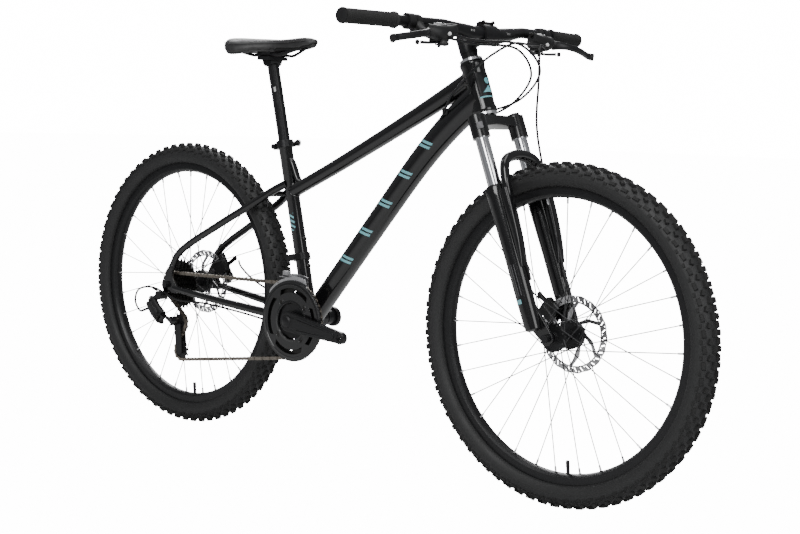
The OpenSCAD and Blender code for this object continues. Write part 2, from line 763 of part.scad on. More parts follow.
// Hollow axle with locknuts, and the quick-release rod through it
module qr_axle(at, r, inside, outside, end_y, pin_y, pin_turn) {
    color([0.7, 0.7, 0.72]) {
        difference() {
            union() {
                ybar(at, -end_y, end_y, r);
                for (s = [-1, 1]) ybar(at, s * (inside - 5), s * (inside - gap), r + 4);
            }
            ybar(at, -100, 100, 2.7);
        }
        translate([at.x, pin_y, at.z]) rotate([0, pin_turn, 0]) qr_head(pin_y + outside + 8);
        ybar(at, -outside - gap, -outside - 9, 8);
        ybar(at, outside + gap, outside + 4.5, 8.5);
    }
}

front_pin_y = 71;
rear_pin_y = 88;
module front_axle() {
    qr_axle(front_axle_at, 4.5, front_drop, front_drop + drop_t, 55, front_pin_y, head_angle - 180);
}
module rear_axle() {
    qr_axle(rear_axle_at, 5, rear_drop, rear_drop + drop_t, 72, rear_pin_y, -90);
}
module front_qr_lever() {
    color([0.15, 0.15, 0.15]) translate([front_axle_at.x, front_pin_y, front_axle_at.z])
        rotate([0, head_angle - 180, 0]) qr_blade(52);
}
module rear_qr_lever() {
    color([0.15, 0.15, 0.15]) translate([rear_axle_at.x, rear_pin_y, rear_axle_at.z])
        rotate([0, -90, 0]) qr_blade(52);
}

// ---------- brakes ----------

// Caliper frame: origin on the axle, local x runs out through the pads
front_caliper_turn = 121.5;
rear_caliper_turn = 34;
module at_front_caliper() {
    translate([fork_offset, 0, 0]) rotate([0, -front_caliper_turn, 0]) children();
}
module at_rear_caliper() {
    translate(rear_axle_at) rotate([0, -rear_caliper_turn, 0]) children();
}
arm_x = 84;

module caliper_tab(y0, reach_z) {
    difference() {
        translate([60, y0 + 7.15, -reach_z]) cube([22, 12, 34 + reach_z]);
        translate([50, y0 + 6, -20]) cube([50, 7, 40]);
    }
}

module caliper(y0) {
    color([0.07, 0.07, 0.07]) {
        difference() {
            union() {
                translate([56, y0 - 11, -18]) cube([36, 18.1, 36]);
                translate([62, y0 + 4.3, -33]) cube([16, 2.8, 66]);
            }
            translate([50, y0 - 2.35, -40]) cube([31.5, 6.5, 80]);
        }
        translate([arm_x, y0 + 11.5, 0]) rotate([90, 0, 0]) cylinder(r = 3, h = 5);
    }
    color([0.35, 0.3, 0.28]) {
        translate([60, y0 - 2.3, -12]) cube([18, 2, 24]);
        translate([60, y0 + 2.1, -12]) cube([18, 2, 24]);
    }
}

module brake_arm(y0) {
    color([0.3, 0.3, 0.32]) translate([arm_x, y0 + 7.6, 0]) difference() {
        union() {
            rotate([-90, 0, 0]) cylinder(r = 8, h = 3.6);
            translate([0, 0, -5]) cube([34, 3.6, 10]);
            translate([34, 0, 0]) rotate([-90, 0, 0]) cylinder(r = 6, h = 3.6);
        }
        translate([0, -1, 0]) rotate([-90, 0, 0]) cylinder(r = 3.05, h = 6);
    }
}
module front_caliper() { in_steer() at_front_caliper() caliper(front_rotor_y); }
module front_brake_arm() { in_steer() at_front_caliper() brake_arm(front_rotor_y); }
module rear_caliper() { at_rear_caliper() caliper(rear_rotor_y); }
module rear_brake_arm() { at_rear_caliper() brake_arm(rear_rotor_y); }

// ---------- drivetrain ----------

// Toothed wheel: a disc with a round seat for each chain roller
module sprocket(at, n, y, t, r_in, turn) {
    c = [at.x, 0, at.z];
    difference() {
        yring(c, y - t / 2, y + t / 2, r_in, pitch_r(n) + tooth_h);
        for (k = [0 : n - 1])
            ybar(c + pitch_r(n) * [cos(turn + 360 * k / n), 0, sin(turn + 360 * k / n)], y - t, y + t, 4.05);
    }
}

// The chain's four wheels in order: centre x, centre z, teeth and turning sense
function wheels_at(a) = [
    [bb.x, bb.z, ring_teeth, 1],
    [-axle_x, wheel_z, cog_teeth, 1],
    [guide_at.x, guide_at.y, pulley_teeth, -1],
    [guide_at.x + cage_l * sin(a), guide_at.y - cage_l * cos(a), pulley_teeth, 1]];
function apart(p, q) = norm([q.x - p.x, q.y - p.y]);
function bite(p, q) = p[3] * pitch_r(p[2]) - q[3] * pitch_r(q[2]);
function run_dir(p, q) = atan2(q.y - p.y, q.x - p.x) + asin(bite(p, q) / apart(p, q));
function run_len(p, q) = sqrt(pow(apart(p, q), 2) - pow(bite(p, q), 2));
function wrap(w, i) =
    let (turn = (run_dir(w[i], w[(i + 1) % 4]) - run_dir(w[(i + 3) % 4], w[i])) * w[i][3])
    (turn % 360 + 360) % 360;
function links_on(w, i) = wrap(w, i) * w[i][2] / 360;
function links_off(w, i) = run_len(w[i], w[(i + 1) % 4]) / pitch;
function links_to(w, i) = i < 0 ? 0 : links_to(w, i - 1) + links_on(w, i) + links_off(w, i);

// Cage angle that takes up the slack, found by halving
function find_cage(lo, hi, n) = let (mid = (lo + hi) / 2)
    n == 0 ? mid
    : links_to(wheels_at(mid), 3) > link_n ? find_cage(mid, hi, n - 1) : find_cage(lo, mid, n - 1);
cage_a = find_cage(-30, 40, 24);
loop = wheels_at(cage_a);

// Angle around wheel i where the chain first touches it
function touch_a(i) = run_dir(loop[(i + 3) % 4], loop[i]) - 90 * loop[i][3];
function wheel_pt(i, a, dr = 0) = [
    loop[i].x + (pitch_r(loop[i][2]) + dr) * cos(a), 0,
    loop[i].y + (pitch_r(loop[i][2]) + dr) * sin(a)];
// Place of the chain pin at s links along the loop
function pin_pt(s, i = 0) =
    let (s0 = links_to(loop, i - 1), on = links_on(loop, i), off = links_off(loop, i),
         u = s - s0, turn = loop[i][3] * 360 / loop[i][2])
    u > on + off && i < 3 ? pin_pt(s, i + 1)
    : u <= on ? wheel_pt(i, touch_a(i) + turn * u)
    : let (d = run_dir(loop[i], loop[(i + 1) % 4]))
      wheel_pt(i, touch_a(i) + turn * on) + (u - on) * pitch * [cos(d), 0, sin(d)];
// Turn that seats wheel i under the chain pins
function seat_turn(i) =
    let (s0 = links_to(loop, i - 1))
    touch_a(i) + loop[i][3] * 360 / loop[i][2] * (ceil(s0) - s0);

module cassette() {
    at = rear_axle_at;
    color([0.12, 0.12, 0.12]) difference() {
        union() {
            for (i = [0 : len(cog_list) - 1])
                sprocket(at, cog_list[i], chain_y + cog_step * (i - 1), 1.8, 12.05, i == 1 ? seat_turn(1) : 0);
            ybar(at, -63.6, -26.5, 17.5);
        }
        ybar(at, -70, -20, 12.05);
    }
}

module crank_spindle() {
    color([0.5, 0.5, 0.52]) {
        ybar(bb, -60, 60, 8.5);
        for (s = [-1, 1]) ybar(bb, s * 60, s * 84.5, 4);
        for (s = [-1, 1]) ybar(bb, s * 80.1, s * 84.5, 7);
    }
}

// Crank arm pointing along +X: boss on the spindle, blade and pedal eye
module crank_arm(s) {
    difference() {
        union() {
            hull() {
                ybar([0, 0, 0], s * 67.2, s * 80, 17, $fn = 32);
                ybar([crank_l, 0, 0], s * 72, s * 86, 13, $fn = 32);
            }
            ybar([0, 0, 0], s * 45, s * 80, 16.5);
        }
        ybar([0, 0, 0], s * 40, s * 60.1, 8.5 + gap);
        ybar([0, 0, 0], s * 55, s * 90, 4 + gap);
        ybar([0, 0, 0], s * 79.9, s * 90, 7.4);
        ybar([crank_l, 0, 0], s * 60, s * 95, 7.14);
    }
}

module crank_right() {
    color([0.06, 0.06, 0.065]) translate(bb) rotate([0, crank_drop, 0]) {
        crank_arm(-1);
        difference() {
            for (k = [0 : 3]) rotate([0, 45 + 90 * k, 0]) hull() {
                translate([14, -58.1, 0]) rotate([90, 0, 0]) cylinder(r = 9, h = 3.2, $fn = 32);
                translate([56, -58.1, 0]) rotate([90, 0, 0]) cylinder(r = 8, h = 3.2, $fn = 32);
            }
            ybar([0, 0, 0], -30, -90, 12);
            for (k = [0 : 3]) rotate([0, 45 + 90 * k, 0]) translate([52, -50, 0]) rotate([90, 0, 0])
                cylinder(r = 4.1, h = 20);
        }
    }
}

module crank_left() {
    color([0.06, 0.06, 0.065]) translate(bb) rotate([0, crank_drop + 180, 0]) crank_arm(1);
}

module chainrings() {
    color([0.25, 0.25, 0.26]) {
        for (i = [0 : 2]) difference() {
            sprocket(bb, ring_list[i], ring_y[i], 2, i == 2 ? 30 : 44, i == 0 ? seat_turn(0) : 0);
            if (i == 0) translate(bb) for (k = [0 : 3]) rotate([0, 90 * k + crank_drop, 0])
                translate([62, -50, 0]) rotate([90, 0, 0]) cylinder(r = 8, h = 20);
        }
        translate(bb) rotate([0, crank_drop, 0]) for (k = [0 : 3]) rotate([0, 45 + 90 * k, 0]) {
            translate([52, -48, 0]) rotate([90, 0, 0]) cylinder(r = 6, h = 8.5);
            translate([52, -43.6, 0]) rotate([90, 0, 0]) cylinder(r = 4, h = 17.7);
            translate([41, -41.2, 0]) rotate([90, 0, 0]) cylinder(r = 4.6, h = 7.6);
            translate([41, -47.5, -3.2]) cube([12, 2.5, 6.4]);
        }
    }
}

module chainguard() {
    color([0.07, 0.07, 0.07]) translate(bb) rotate([0, crank_drop, 0]) difference() {
        union() {
            ybar([0, 0, 0], -61.4, -66.4, guard_r - 3);
            ybar([0, 0, 0], -62.4, -65.4, guard_r);
        }
        ybar([0, 0, 0], -50, -70, 42);
        for (k = [0 : 3]) rotate([0, 90 * k, 0]) intersection() {
            yring([0, 0, 0], -60, -70, 66, 76);
            translate([50, -80, -42]) cube([40, 30, 84]);
        }
        for (k = [0 : 3]) rotate([0, 45 + 90 * k, 0]) translate([52, -50, 0]) rotate([90, 0, 0])
            cylinder(r = 4.1, h = 30);
    }
}

// Flat strip of chain side plates: arcs around each wheel and straight runs between them
module plate_loop() {
    for (i = [0 : 3]) {
        n = loop[i][2];
        rp = pitch_r(n);
        a0 = touch_a(i);
        a1 = a0 + loop[i][3] * wrap(loop, i);
        steps = ceil(abs(a1 - a0) / 12);
        translate([loop[i].x, loop[i].y]) intersection() {
            difference() {
                circle(r = rp + band_h / 2);
                circle(r = rp - band_h / 2);
            }
            polygon(concat([[0, 0]],
                [for (k = [0 : steps]) let (a = a0 + (a1 - a0) * k / steps) 1.2 * rp * [cos(a), sin(a)]]));
        }
        d = run_dir(loop[i], loop[(i + 1) % 4]);
        start = wheel_pt(i, a1);
        translate([start.x, start.z]) rotate(d) translate([-0.3, 0.25 - band_h / 2])
            square([run_len(loop[i], loop[(i + 1) % 4]) + 0.6, band_h - 0.5]);
    }
}

module chain() {
    color([0.42, 0.4, 0.37]) {
        for (y = [chain_y + band_off + band_t, chain_y - band_off])
            translate([0, y, 0]) rotate([90, 0, 0]) linear_extrude(band_t) plate_loop();
        for (k = [0 : link_n - 1])
            ybar(pin_pt(k), chain_y - band_off - 0.8, chain_y + band_off + 0.8, roller_r);
    }
}

module front_mech_clamp() {
    color([0.3, 0.3, 0.32]) in_seat() {
        difference() {
            union() {
                translate([0, 0, 138]) cylinder(r = 20, h = 16);
                translate([-14, -38, 139]) cube([26, 26, 14]);
            }
            translate([0, 0, 130]) cylinder(r = seat_tube_r + gap, h = 40);
        }
    }
}

// Front mech cage: two curved plates beside the chain, closed behind and carried by an arm
module front_mech_cage() {
    color([0.78, 0.78, 0.8]) {
        difference() {
            union() {
                yring(bb, -61.3, -60.1, 90.5, 112);
                yring(bb, -52, -50.8, 90.5, 112);
                intersection() {
                    yring(bb, -61.3, -50.8, 108.5, 112);
                    translate([bb.x - 55, -70, bb.z]) cube([120, 30, 120]);
                }
            }
            translate([bb.x + 42, -80, bb.z - 150]) cube([150, 60, 300]);
            translate([bb.x - 150, -80, bb.z - 150]) cube([300, 60, 192]);
            translate([bb.x - 150, -80, bb.z + 20]) cube([66, 60, 28]);
        }
        translate([bb.x - 46, -56, bb.z + 106]) cube([24, 17, 9]);
    }
}

// ---------- rear mech ----------

link_in = [-612, -84, 303];
link_out = [-558, -94, 267];
link_axis_turn = atan2(link_out.x - link_in.x, link_in.z - link_out.z);
cage_pivot = [guide_at.x - 4, chain_y, guide_at.y + 4];

// Children turned so that local z is the pivot direction of the mech's links
module at_link(p) {
    translate(p) rotate([0, 90 - link_axis_turn, 0]) children();
}

module mech_hanger() {
    color([0.08, 0.08, 0.08]) {
        ybar(hanger, -79, -64, 4.95);
        difference() {
            union() {
                ybar(hanger, -92, -74.6, 11);
                rod([hanger.x, -83, hanger.z], [link_in.x, -83, link_in.z + 2], 7.5);
                at_link(link_in) translate([0, 0, -11]) cylinder(r = 9, h = 22);
            }
            at_link(link_in) translate([-30, -30, -8]) cube([60, 60, 16]);
        }
        at_link(link_in) translate([0, 0, -9]) cylinder(r = 2.5, h = 18);
    }
}

module mech_link() {
    span = norm([link_out.x - link_in.x, link_out.z - link_in.z]);
    color([0.1, 0.1, 0.1]) difference() {
        union() {
            for (p = [link_in, link_out]) at_link(p) translate([0, 0, -7.5]) cylinder(r = 6.5, h = 15);
            hull() for (p = [link_in, link_out]) at_link(p) translate([0, 0, -6.5])
                cylinder(r = 5, h = 13, $fn = 32);
        }
        for (p = [link_in, link_out]) at_link(p) translate([0, 0, -20]) cylinder(r = 2.55, h = 40);
    }
}

module mech_knuckle() {
    color([0.08, 0.08, 0.08]) {
        difference() {
            union() {
                at_link(link_out) translate([0, 0, -11]) cylinder(r = 9, h = 22);
                ybar(cage_pivot, -92, -67, 11);
                rod([link_out.x, -88, link_out.z], [cage_pivot.x, -84, cage_pivot.z], 8);
            }
            at_link(link_out) translate([-30, -30, -8]) cube([60, 60, 16]);
        }
        at_link(link_out) translate([0, 0, -9]) cylinder(r = 2.5, h = 18);
        ybar(cage_pivot, -70, -65.2, 4);
    }
}

module mech_cage() {
    guide = [loop[2].x, 0, loop[2].y];
    tension = [loop[3].x, 0, loop[3].y];
    color([0.1, 0.1, 0.1]) {
        difference() {
            hull() {
                ybar(cage_pivot, -66.9, -64.9, 11, $fn = 32);
                ybar(guide, -66.9, -64.9, 10, $fn = 32);
                ybar(tension, -66.9, -64.9, 10, $fn = 32);
            }
            ybar(cage_pivot, -70, -60, 4.05);
        }
        hull() {
            ybar(guide, -51.1, -49.1, 9, $fn = 32);
            ybar(tension, -51.1, -49.1, 9, $fn = 32);
        }
        for (p = [guide, tension]) ybar(p, -65, -49.2, 3);
    }
}

module pulley(i) {
    color([0.06, 0.06, 0.06]) difference() {
        at = [loop[i].x, 0, loop[i].y];
        union() {
            sprocket(at, pulley_teeth, chain_y, 2.4, 3.06, seat_turn(i));
            yring(at, chain_y - 4, chain_y + 4, 3.06, 7);
        }
    }
}
module guide_pulley() { pulley(2); }
module tension_pulley() { pulley(3); }

// ---------- cables ----------

module frame_cables() {
    color([0.04, 0.04, 0.04]) {
        cable([[-200, -33, 286], [-310, -50, 303], [-430, -66, 315], [-515, -86, 318], [-560, -97, 324],
               [-610, -99, 338], [-652, -94, 328], [-666, -89, 302], [-648, -88, 278], [-628, -87, 284]], 2.5);
        cable([[-205, 34, 324], [-260, 44, 335], [-340, 54, 350], [-405, 60, 372], [-440, 58, 396], [-448, 56, 412]],
              2.5);
    }
}

module steering_cables() {
    left = from_bar(1, shift_at);
    right = from_bar(-1, shift_at);
    port = [262, 22, 790];
    color([0.04, 0.04, 0.04]) {
        cable([left + [22.6, -4, 12], [385, 90, 935], [400, 10, 930], [372, -48, 890], [300, -46, 830],
               [port.x, -30, port.z]], 2.5);
        cable([right + [22.6, 4, 14], [388, -80, 932], [410, 30, 930], [415, 95, 880], [370, 90, 820],
               [300, 50, 790], [port.x, 30, port.z]], 2.5);
        cable([right + [22.6, 4, 6], [383, -80, 925], [400, 30, 922], [400, 85, 870], [355, 82, 810],
               [300, 44, 778], [port.x - 8, 30, port.z - 9]], 2.5);
        cable([left + [22.6, -4, 4], [395, 120, 930], [412, 96, 860], [415, 92, 760], [442, 96, 640],
               [470, 94, 520], [478, 80, 440]], 2.5);
    }
}

frame();
headset();
bottom_bracket();
seat_collar();
collar_lever();
seatpost();
saddle_clamp();
saddle_base();
saddle_cover();
fork_crown();
fork_stanchions();
fork_lowers();
fork_spring();
preload_knob();
stem();
stem_bolts();
handlebar();
grips();
control_pods();
brake_lever_left();
brake_lever_right();
thumb_lever_left();
thumb_lever_right();
trigger_left();
trigger_right();
steering_cables();
front_axle();
front_qr_lever();
front_hub();
front_spokes();
front_rim();
front_tyre();
front_rotor();
front_caliper();
front_brake_arm();
rear_axle();
rear_qr_lever();
rear_hub();
rear_spokes();
rear_rim();
rear_tyre();
rear_rotor();
rear_caliper();
rear_brake_arm();
cassette();
crank_spindle();
crank_right();
crank_left();
chainrings();
chainguard();
chain();
front_mech_clamp();
front_mech_cage();
mech_hanger();
mech_link();
mech_knuckle();
mech_cage();
guide_pulley();
tension_pulley();
frame_cables();
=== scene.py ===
import json
from math import acos, asin, atan2, copysign, cos, degrees, exp, hypot, pi, radians, sin, sqrt

import bmesh
import bpy
from mathutils import Matrix, Vector


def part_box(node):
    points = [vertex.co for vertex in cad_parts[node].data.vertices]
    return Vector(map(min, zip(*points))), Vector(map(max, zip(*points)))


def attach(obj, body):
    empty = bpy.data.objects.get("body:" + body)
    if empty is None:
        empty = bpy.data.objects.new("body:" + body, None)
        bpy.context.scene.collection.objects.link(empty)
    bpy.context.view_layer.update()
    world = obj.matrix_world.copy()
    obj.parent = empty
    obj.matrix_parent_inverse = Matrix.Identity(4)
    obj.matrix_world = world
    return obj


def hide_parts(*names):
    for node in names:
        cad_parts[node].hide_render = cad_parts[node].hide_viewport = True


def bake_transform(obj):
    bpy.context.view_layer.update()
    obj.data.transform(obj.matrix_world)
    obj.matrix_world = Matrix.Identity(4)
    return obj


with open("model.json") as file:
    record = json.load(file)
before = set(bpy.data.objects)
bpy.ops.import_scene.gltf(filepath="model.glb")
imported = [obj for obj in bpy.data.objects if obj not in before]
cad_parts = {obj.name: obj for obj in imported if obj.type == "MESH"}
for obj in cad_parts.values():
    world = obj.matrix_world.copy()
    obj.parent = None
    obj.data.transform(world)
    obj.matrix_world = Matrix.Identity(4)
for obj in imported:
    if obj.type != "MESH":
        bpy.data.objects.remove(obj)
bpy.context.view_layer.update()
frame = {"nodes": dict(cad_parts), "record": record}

# ---------- the frame's own facts ----------

RECORD = frame["record"]
BODY = {n: b for b, nodes in RECORD["behaviour"]["bodies"].items() for n in nodes}
MM = 0.001


def vec(x, y, z):
    return Vector((x, y, z))


X, Y, Z = vec(1, 0, 0), vec(0, 1, 0), vec(0, 0, 1)


def middle(node):
    lo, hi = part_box(node)
    return (lo + hi) / 2 / MM


# Wheel centres, bottom bracket, and the directions across (N) and up (T) the steering and seat axes
REAR = middle("rear_rim") * vec(1, 0, 1)
FRONT = middle("front_rim") * vec(1, 0, 1)
BB = vec(-138, 0, 305)
HEAD_ANGLE = radians(68.5)
SEAT_ANGLE = radians(76)
STEER_N = vec(sin(HEAD_ANGLE), 0, cos(HEAD_ANGLE))
STEER_T = vec(-cos(HEAD_ANGLE), 0, sin(HEAD_ANGLE))
FORK_OFFSET = 40
# Outside radii of three frame tubes; place and bore of a fork leg; bottle bosses up the seat tube
HEAD_R, SEAT_TUBE_R, SHELL_R = 24.4, 15.9, 21.4
LEG_N, LEG_Y, BORE_R = 22, 65, 14.1
BOSSES = (122, 186)
SPOKES = 32
FOOT = FRONT - FORK_OFFSET * STEER_N
SEAT_N = vec(sin(SEAT_ANGLE), 0, cos(SEAT_ANGLE))
SEAT_T = vec(-cos(SEAT_ANGLE), 0, sin(SEAT_ANGLE))


def steer(n, y, t):
    """A point n ahead of the steering axis and t up it."""
    return FOOT + n * STEER_N + t * STEER_T + y * Y


def seat(n, t, y=0):
    """A point n ahead of the seat tube's axis and t up it."""
    return BB + n * SEAT_N + t * SEAT_T + y * Y


def bar_point(y):
    """Centre line of the handlebar at a distance y from the middle."""
    a = abs(y)
    if a < 45:
        return steer(53, y, 640)
    if a < 130:
        u = (a - 45) / 85
        return steer(53 - 1.5 * u, y, 640 + 14 * u)
    u = (a - 130) / 261
    return steer(51.5 - 33 * u, y, 654 + 13 * u)


# ---------- shapes: each returns (points in mm, faces) ----------

def merge(*shapes):
    points, faces = [], []
    for p, f in shapes:
        base = len(points)
        points += [Vector(q) for q in p]
        faces += [[i + base for i in face] for face in f]
    return points, faces


def curve(points, steps=6):
    """A smooth path through the points."""
    pts = [Vector(p) for p in points]
    out = []
    for i in range(len(pts) - 1):
        p0 = pts[i - 1] if i else 2 * pts[0] - pts[1]
        p1, p2 = pts[i], pts[i + 1]
        p3 = pts[i + 2] if i + 2 < len(pts) else 2 * pts[-1] - pts[-2]
        for k in range(steps):
            u = k / steps
            out.append(0.5 * (2 * p1 + (p2 - p0) * u + (2 * p0 - 5 * p1 + 4 * p2 - p3) * u * u
                              + (3 * p1 - p0 - 3 * p2 + p3) * u ** 3))
    return out + [pts[-1]]


def skin(rings, sides, closed=False):
    """Faces over a row of rings of points, with end caps unless the row closes on itself."""
    faces = []
    for i in range(rings if closed else rings - 1):
        for k in range(sides):
            j, m = (i + 1) % rings, (k + 1) % sides
            faces.append([i * sides + k, i * sides + m, j * sides + m, j * sides + k])
    if not closed:
        faces.append(list(range(sides)))
        faces.append([(rings - 1) * sides + k for k in reversed(range(sides))])
    return faces


def tube(path, size, sides=20, side=None, power=2.0, closed=False):
    """Sweeps an oval along a path. size is a radius, or a function of the share of the path run."""
    path = [Vector(p) for p in path]
    n = len(path)
    lengths = [0.0]
    for a, b in zip(path, path[1:]):
        lengths.append(lengths[-1] + (b - a).length)
    points, across = [], None
    for i, p in enumerate(path):
        before = path[i - 1] if i or closed else path[0]
        after = path[(i + 1) % n] if i + 1 < n or closed else path[-1]
        along = (after - before).normalized()
        if side is not None:
            across = (side - side.dot(along) * along).normalized()
        else:
            guess = across or (Z if abs(along.z) < 0.9 else X)
            across = (guess - guess.dot(along) * along).normalized()
        up = along.cross(across)
        r = size(lengths[i] / lengths[-1]) if callable(size) else size
        a, b = r if isinstance(r, tuple) else (r, r)
        for k in range(sides):
            t = 2 * pi * k / sides
            c, s = cos(t), sin(t)
            x = a * copysign(abs(c) ** (2 / power), c)
            z = b * copysign(abs(s) ** (2 / power), s)
            points.append(p + x * across + z * up)
    return points, skin(n, sides, closed)


def rod(a, b, r, sides=20):
    return tube([a, b], r, sides)


def lathe(profile, centre, axis=Y, segments=64, loop=True):
    """Turns (radius, distance along axis) points about the axis; loop closes the profile on itself."""
    axis = Vector(axis).normalized()
    u = axis.orthogonal().normalized() if abs(axis.y) < 0.9 else X
    w = axis.cross(u)
    points, faces = [], []
    n = len(profile)
    for i in range(segments):
        a = 2 * pi * i / segments
        out = u * cos(a) + w * sin(a)
        points += [Vector(centre) + r * out + d * axis for r, d in profile]
    for i in range(segments):
        j = (i + 1) % segments
        for k in range(n if loop else n - 1):
            m = (k + 1) % n
            faces.append([i * n + k, j * n + k, j * n + m, i * n + m])
    if not loop:
        faces.append([i * n for i in range(segments)])
        faces.append([i * n + n - 1 for i in reversed(range(segments))])
    return points, faces


def knob(a, b, r, lip=0.8, segments=28):
    """A round bar from a to b with its end edges eased."""
    axis = Vector(b) - Vector(a)
    h = axis.length
    lip = min(lip, r * 0.4, h * 0.4)
    return lathe([(r - lip, 0), (r, lip), (r, h - lip), (r - lip, h)], a, axis, segments, False)


def box(centre, size):
    ends = (-0.5, 0.5)
    points = [Vector(centre) + vec(i * size[0], j * size[1], k * size[2])
              for i in ends for j in ends for k in ends]
    faces = [[0, 1, 3, 2], [4, 6, 7, 5], [0, 4, 5, 1], [2, 3, 7, 6], [0, 2, 6, 4], [1, 5, 7, 3]]
    return points, faces


def polar(r, degrees_round):
    a = radians(degrees_round)
    return (r * cos(a), r * sin(a))


def circle(x, z, r, n=20):
    return [(x + r * cos(2 * pi * k / n), z + r * sin(2 * pi * k / n)) for k in range(n)]


def plate(loops, y, thick, origin=None, ease=0.2):
    """A flat sheet facing sideways; the first loop is the outline and the others are holes, as (x, z)."""
    origin = Vector(origin or (0, 0, 0))
    data = bpy.data.curves.new("sheet", "CURVE")
    data.dimensions = "2D"
    data.fill_mode = "BOTH"
    data.extrude = thick / 2 - ease
    data.bevel_depth = ease
    data.offset = -ease
    for loop in loops:
        s = data.splines.new("POLY")
        s.points.add(len(loop) - 1)
        for p, (x, z) in zip(s.points, loop):
            p.co = (x, z, 0, 1)
        s.use_cyclic_u = True
    obj = bpy.data.objects.new("sheet", data)
    mesh = bpy.data.meshes.new_from_object(obj)
    points = [origin + vec(v.co.x, y + v.co.z, v.co.y) for v in mesh.vertices]
    faces = [list(p.vertices) for p in mesh.polygons]
    bpy.data.objects.remove(obj)
    bpy.data.curves.remove(data)
    bpy.data.meshes.remove(mesh)
    return points, faces


# ---------- turning shapes into pieces ----------

def dress(obj, mat, body, nodes=()):
    obj.data.materials.append(mat)
    if body:
        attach(obj, body)
    if nodes:
        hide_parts(*nodes)
    return obj


def soften(obj, bevel, segments=2):
    """Eased edges, as cast and machined parts have."""
    m = obj.modifiers.new("eased", "BEVEL")
    m.width = bevel * MM
    m.segments = segments
    m.limit_method = "ANGLE"
    m.angle_limit = radians(35)
    m.use_clamp_overlap = True
    m.harden_normals = True


def mesh_to_object(name, mesh, smooth, clean=False):
    """Outward normals, smooth faces with sharp edges above an angle, and a place in the scene."""
    work = bmesh.new()
    work.from_mesh(mesh)
    if clean:
        bmesh.ops.remove_doubles(work, verts=work.verts, dist=2e-6)
        bmesh.ops.dissolve_limit(work, angle_limit=radians(1.5), verts=work.verts, edges=work.edges)
    bmesh.ops.recalc_face_normals(work, faces=work.faces)
    work.to_mesh(mesh)
    work.free()
    mesh.polygons.foreach_set("use_smooth", [True] * len(mesh.polygons))
    mesh.set_sharp_from_angle(angle=radians(smooth))
    obj = bpy.data.objects.new(name, mesh)
    bpy.context.scene.collection.objects.link(obj)
    return obj


def mesh_object(name, shape, smooth=40):
    """A mesh of one shape or of a list of shapes."""
    points, faces = merge(*shape) if isinstance(shape, list) else shape
    mesh = bpy.data.meshes.new(name)
    mesh.from_pydata([tuple(Vector(p) * MM) for p in points], [], faces)
    return mesh_to_object(name, mesh, smooth)


def piece(name, shape, mat, node, extra=False, bevel=0.0, smooth=40):
    """One finished piece that stands for a CAD node."""
    obj = mesh_object(name, shape, smooth)
    if bevel:
        soften(obj, bevel)
    return dress(obj, mat, BODY[node], () if extra else (node,))


def detail(name, shape, mat, node, smooth=40):
    """A piece that sits beside the one that stands for its node."""
    return piece(name, shape, mat, node, True, smooth=smooth)


def refine(node, mat, bevel=0.4, smooth=32, segments=2):
    """The CAD node's own shape, cleaned and with eased edges."""
    mesh = frame["nodes"][node].data.copy()
    mesh.materials.clear()
    obj = mesh_to_object("fine_" + node, mesh, smooth, clean=True)
    if bevel:
        soften(obj, bevel, segments)
    return dress(obj, mat, BODY[node], (node,))


# ---------- surfaces ----------

class Nodes:
    """Short names for building a node material."""

    def __init__(self, name):
        self.mat = bpy.data.materials.new(name)
        self.mat.use_nodes = True
        self.tree = self.mat.node_tree
        self.bsdf = self.tree.nodes["Principled BSDF"]
        self.where = self.tree.nodes.new("ShaderNodeTexCoord").outputs["Object"]

    def link(self, a, b):
        self.tree.links.new(a, b)

    def feed(self, socket, value):
        """Sets a socket, or links it when value is another node's output."""
        if hasattr(value, "is_output"):
            self.link(value, socket)
        else:
            socket.default_value = value

    def put(self, kind, **inputs):
        node = self.tree.nodes.new(kind)
        for key, value in inputs.items():
            self.feed(node.inputs[key.replace("_", " ")], value)
        return node

    def math(self, op, a, b=0.0):
        node = self.tree.nodes.new("ShaderNodeMath")
        node.operation = op
        self.feed(node.inputs[0], a)
        self.feed(node.inputs[1], b)
        return node.outputs[0]

    def mul(self, a, b):
        return self.math("MULTIPLY", a, b)

    def above(self, a, b):
        return self.math("GREATER_THAN", a, b)

    def below(self, a, b):
        return self.math("LESS_THAN", a, b)

    def either(self, a, b):
        return self.math("MAXIMUM", a, b)

    def size(self, a):
        return self.math("ABSOLUTE", a)

    def along(self, origin, direction):
        """Distance in mm from origin along a direction."""
        d = Vector(direction).normalized()
        node = self.tree.nodes.new("ShaderNodeVectorMath")
        node.operation = "DOT_PRODUCT"
        self.link(self.where, node.inputs[0])
        node.inputs[1].default_value = tuple(d / MM)
        return self.math("SUBTRACT", node.outputs["Value"], Vector(origin).dot(d))

    def between(self, value, low, high):
        return self.mul(self.above(value, low), self.below(value, high))

    def noise(self, scale, detail=4.0, stretch=None):
        where = self.where
        if stretch:
            where = self.put("ShaderNodeMapping", Vector=where, Scale=stretch).outputs[0]
        return self.put("ShaderNodeTexNoise", Vector=where, Scale=scale, Detail=detail).outputs["Fac"]

    def mix(self, fac, a, b):
        node = self.tree.nodes.new("ShaderNodeMix")
        node.data_type = "RGBA"
        self.feed(node.inputs[0], fac)
        self.feed(node.inputs[6], (*a, 1.0))
        self.feed(node.inputs[7], (*b, 1.0))
        return node.outputs[2]

    def spread(self, value, low, high):
        return self.put("ShaderNodeMapRange", Value=value, To_Min=low, To_Max=high).outputs[0]

    def stain(self, where, colour):
        """A second colour over the finish wherever the mask is 1."""
        top = self.mix(where, (0, 0, 0), colour)
        self.link(self.colour, top.node.inputs[6])
        self.link(top, self.bsdf.inputs["Base Color"])
        self.colour = top

    def bump(self, height, strength, distance):
        node = self.put("ShaderNodeBump", Height=height, Strength=strength, Distance=distance * MM)
        self.link(node.outputs[0], self.bsdf.inputs["Normal"])


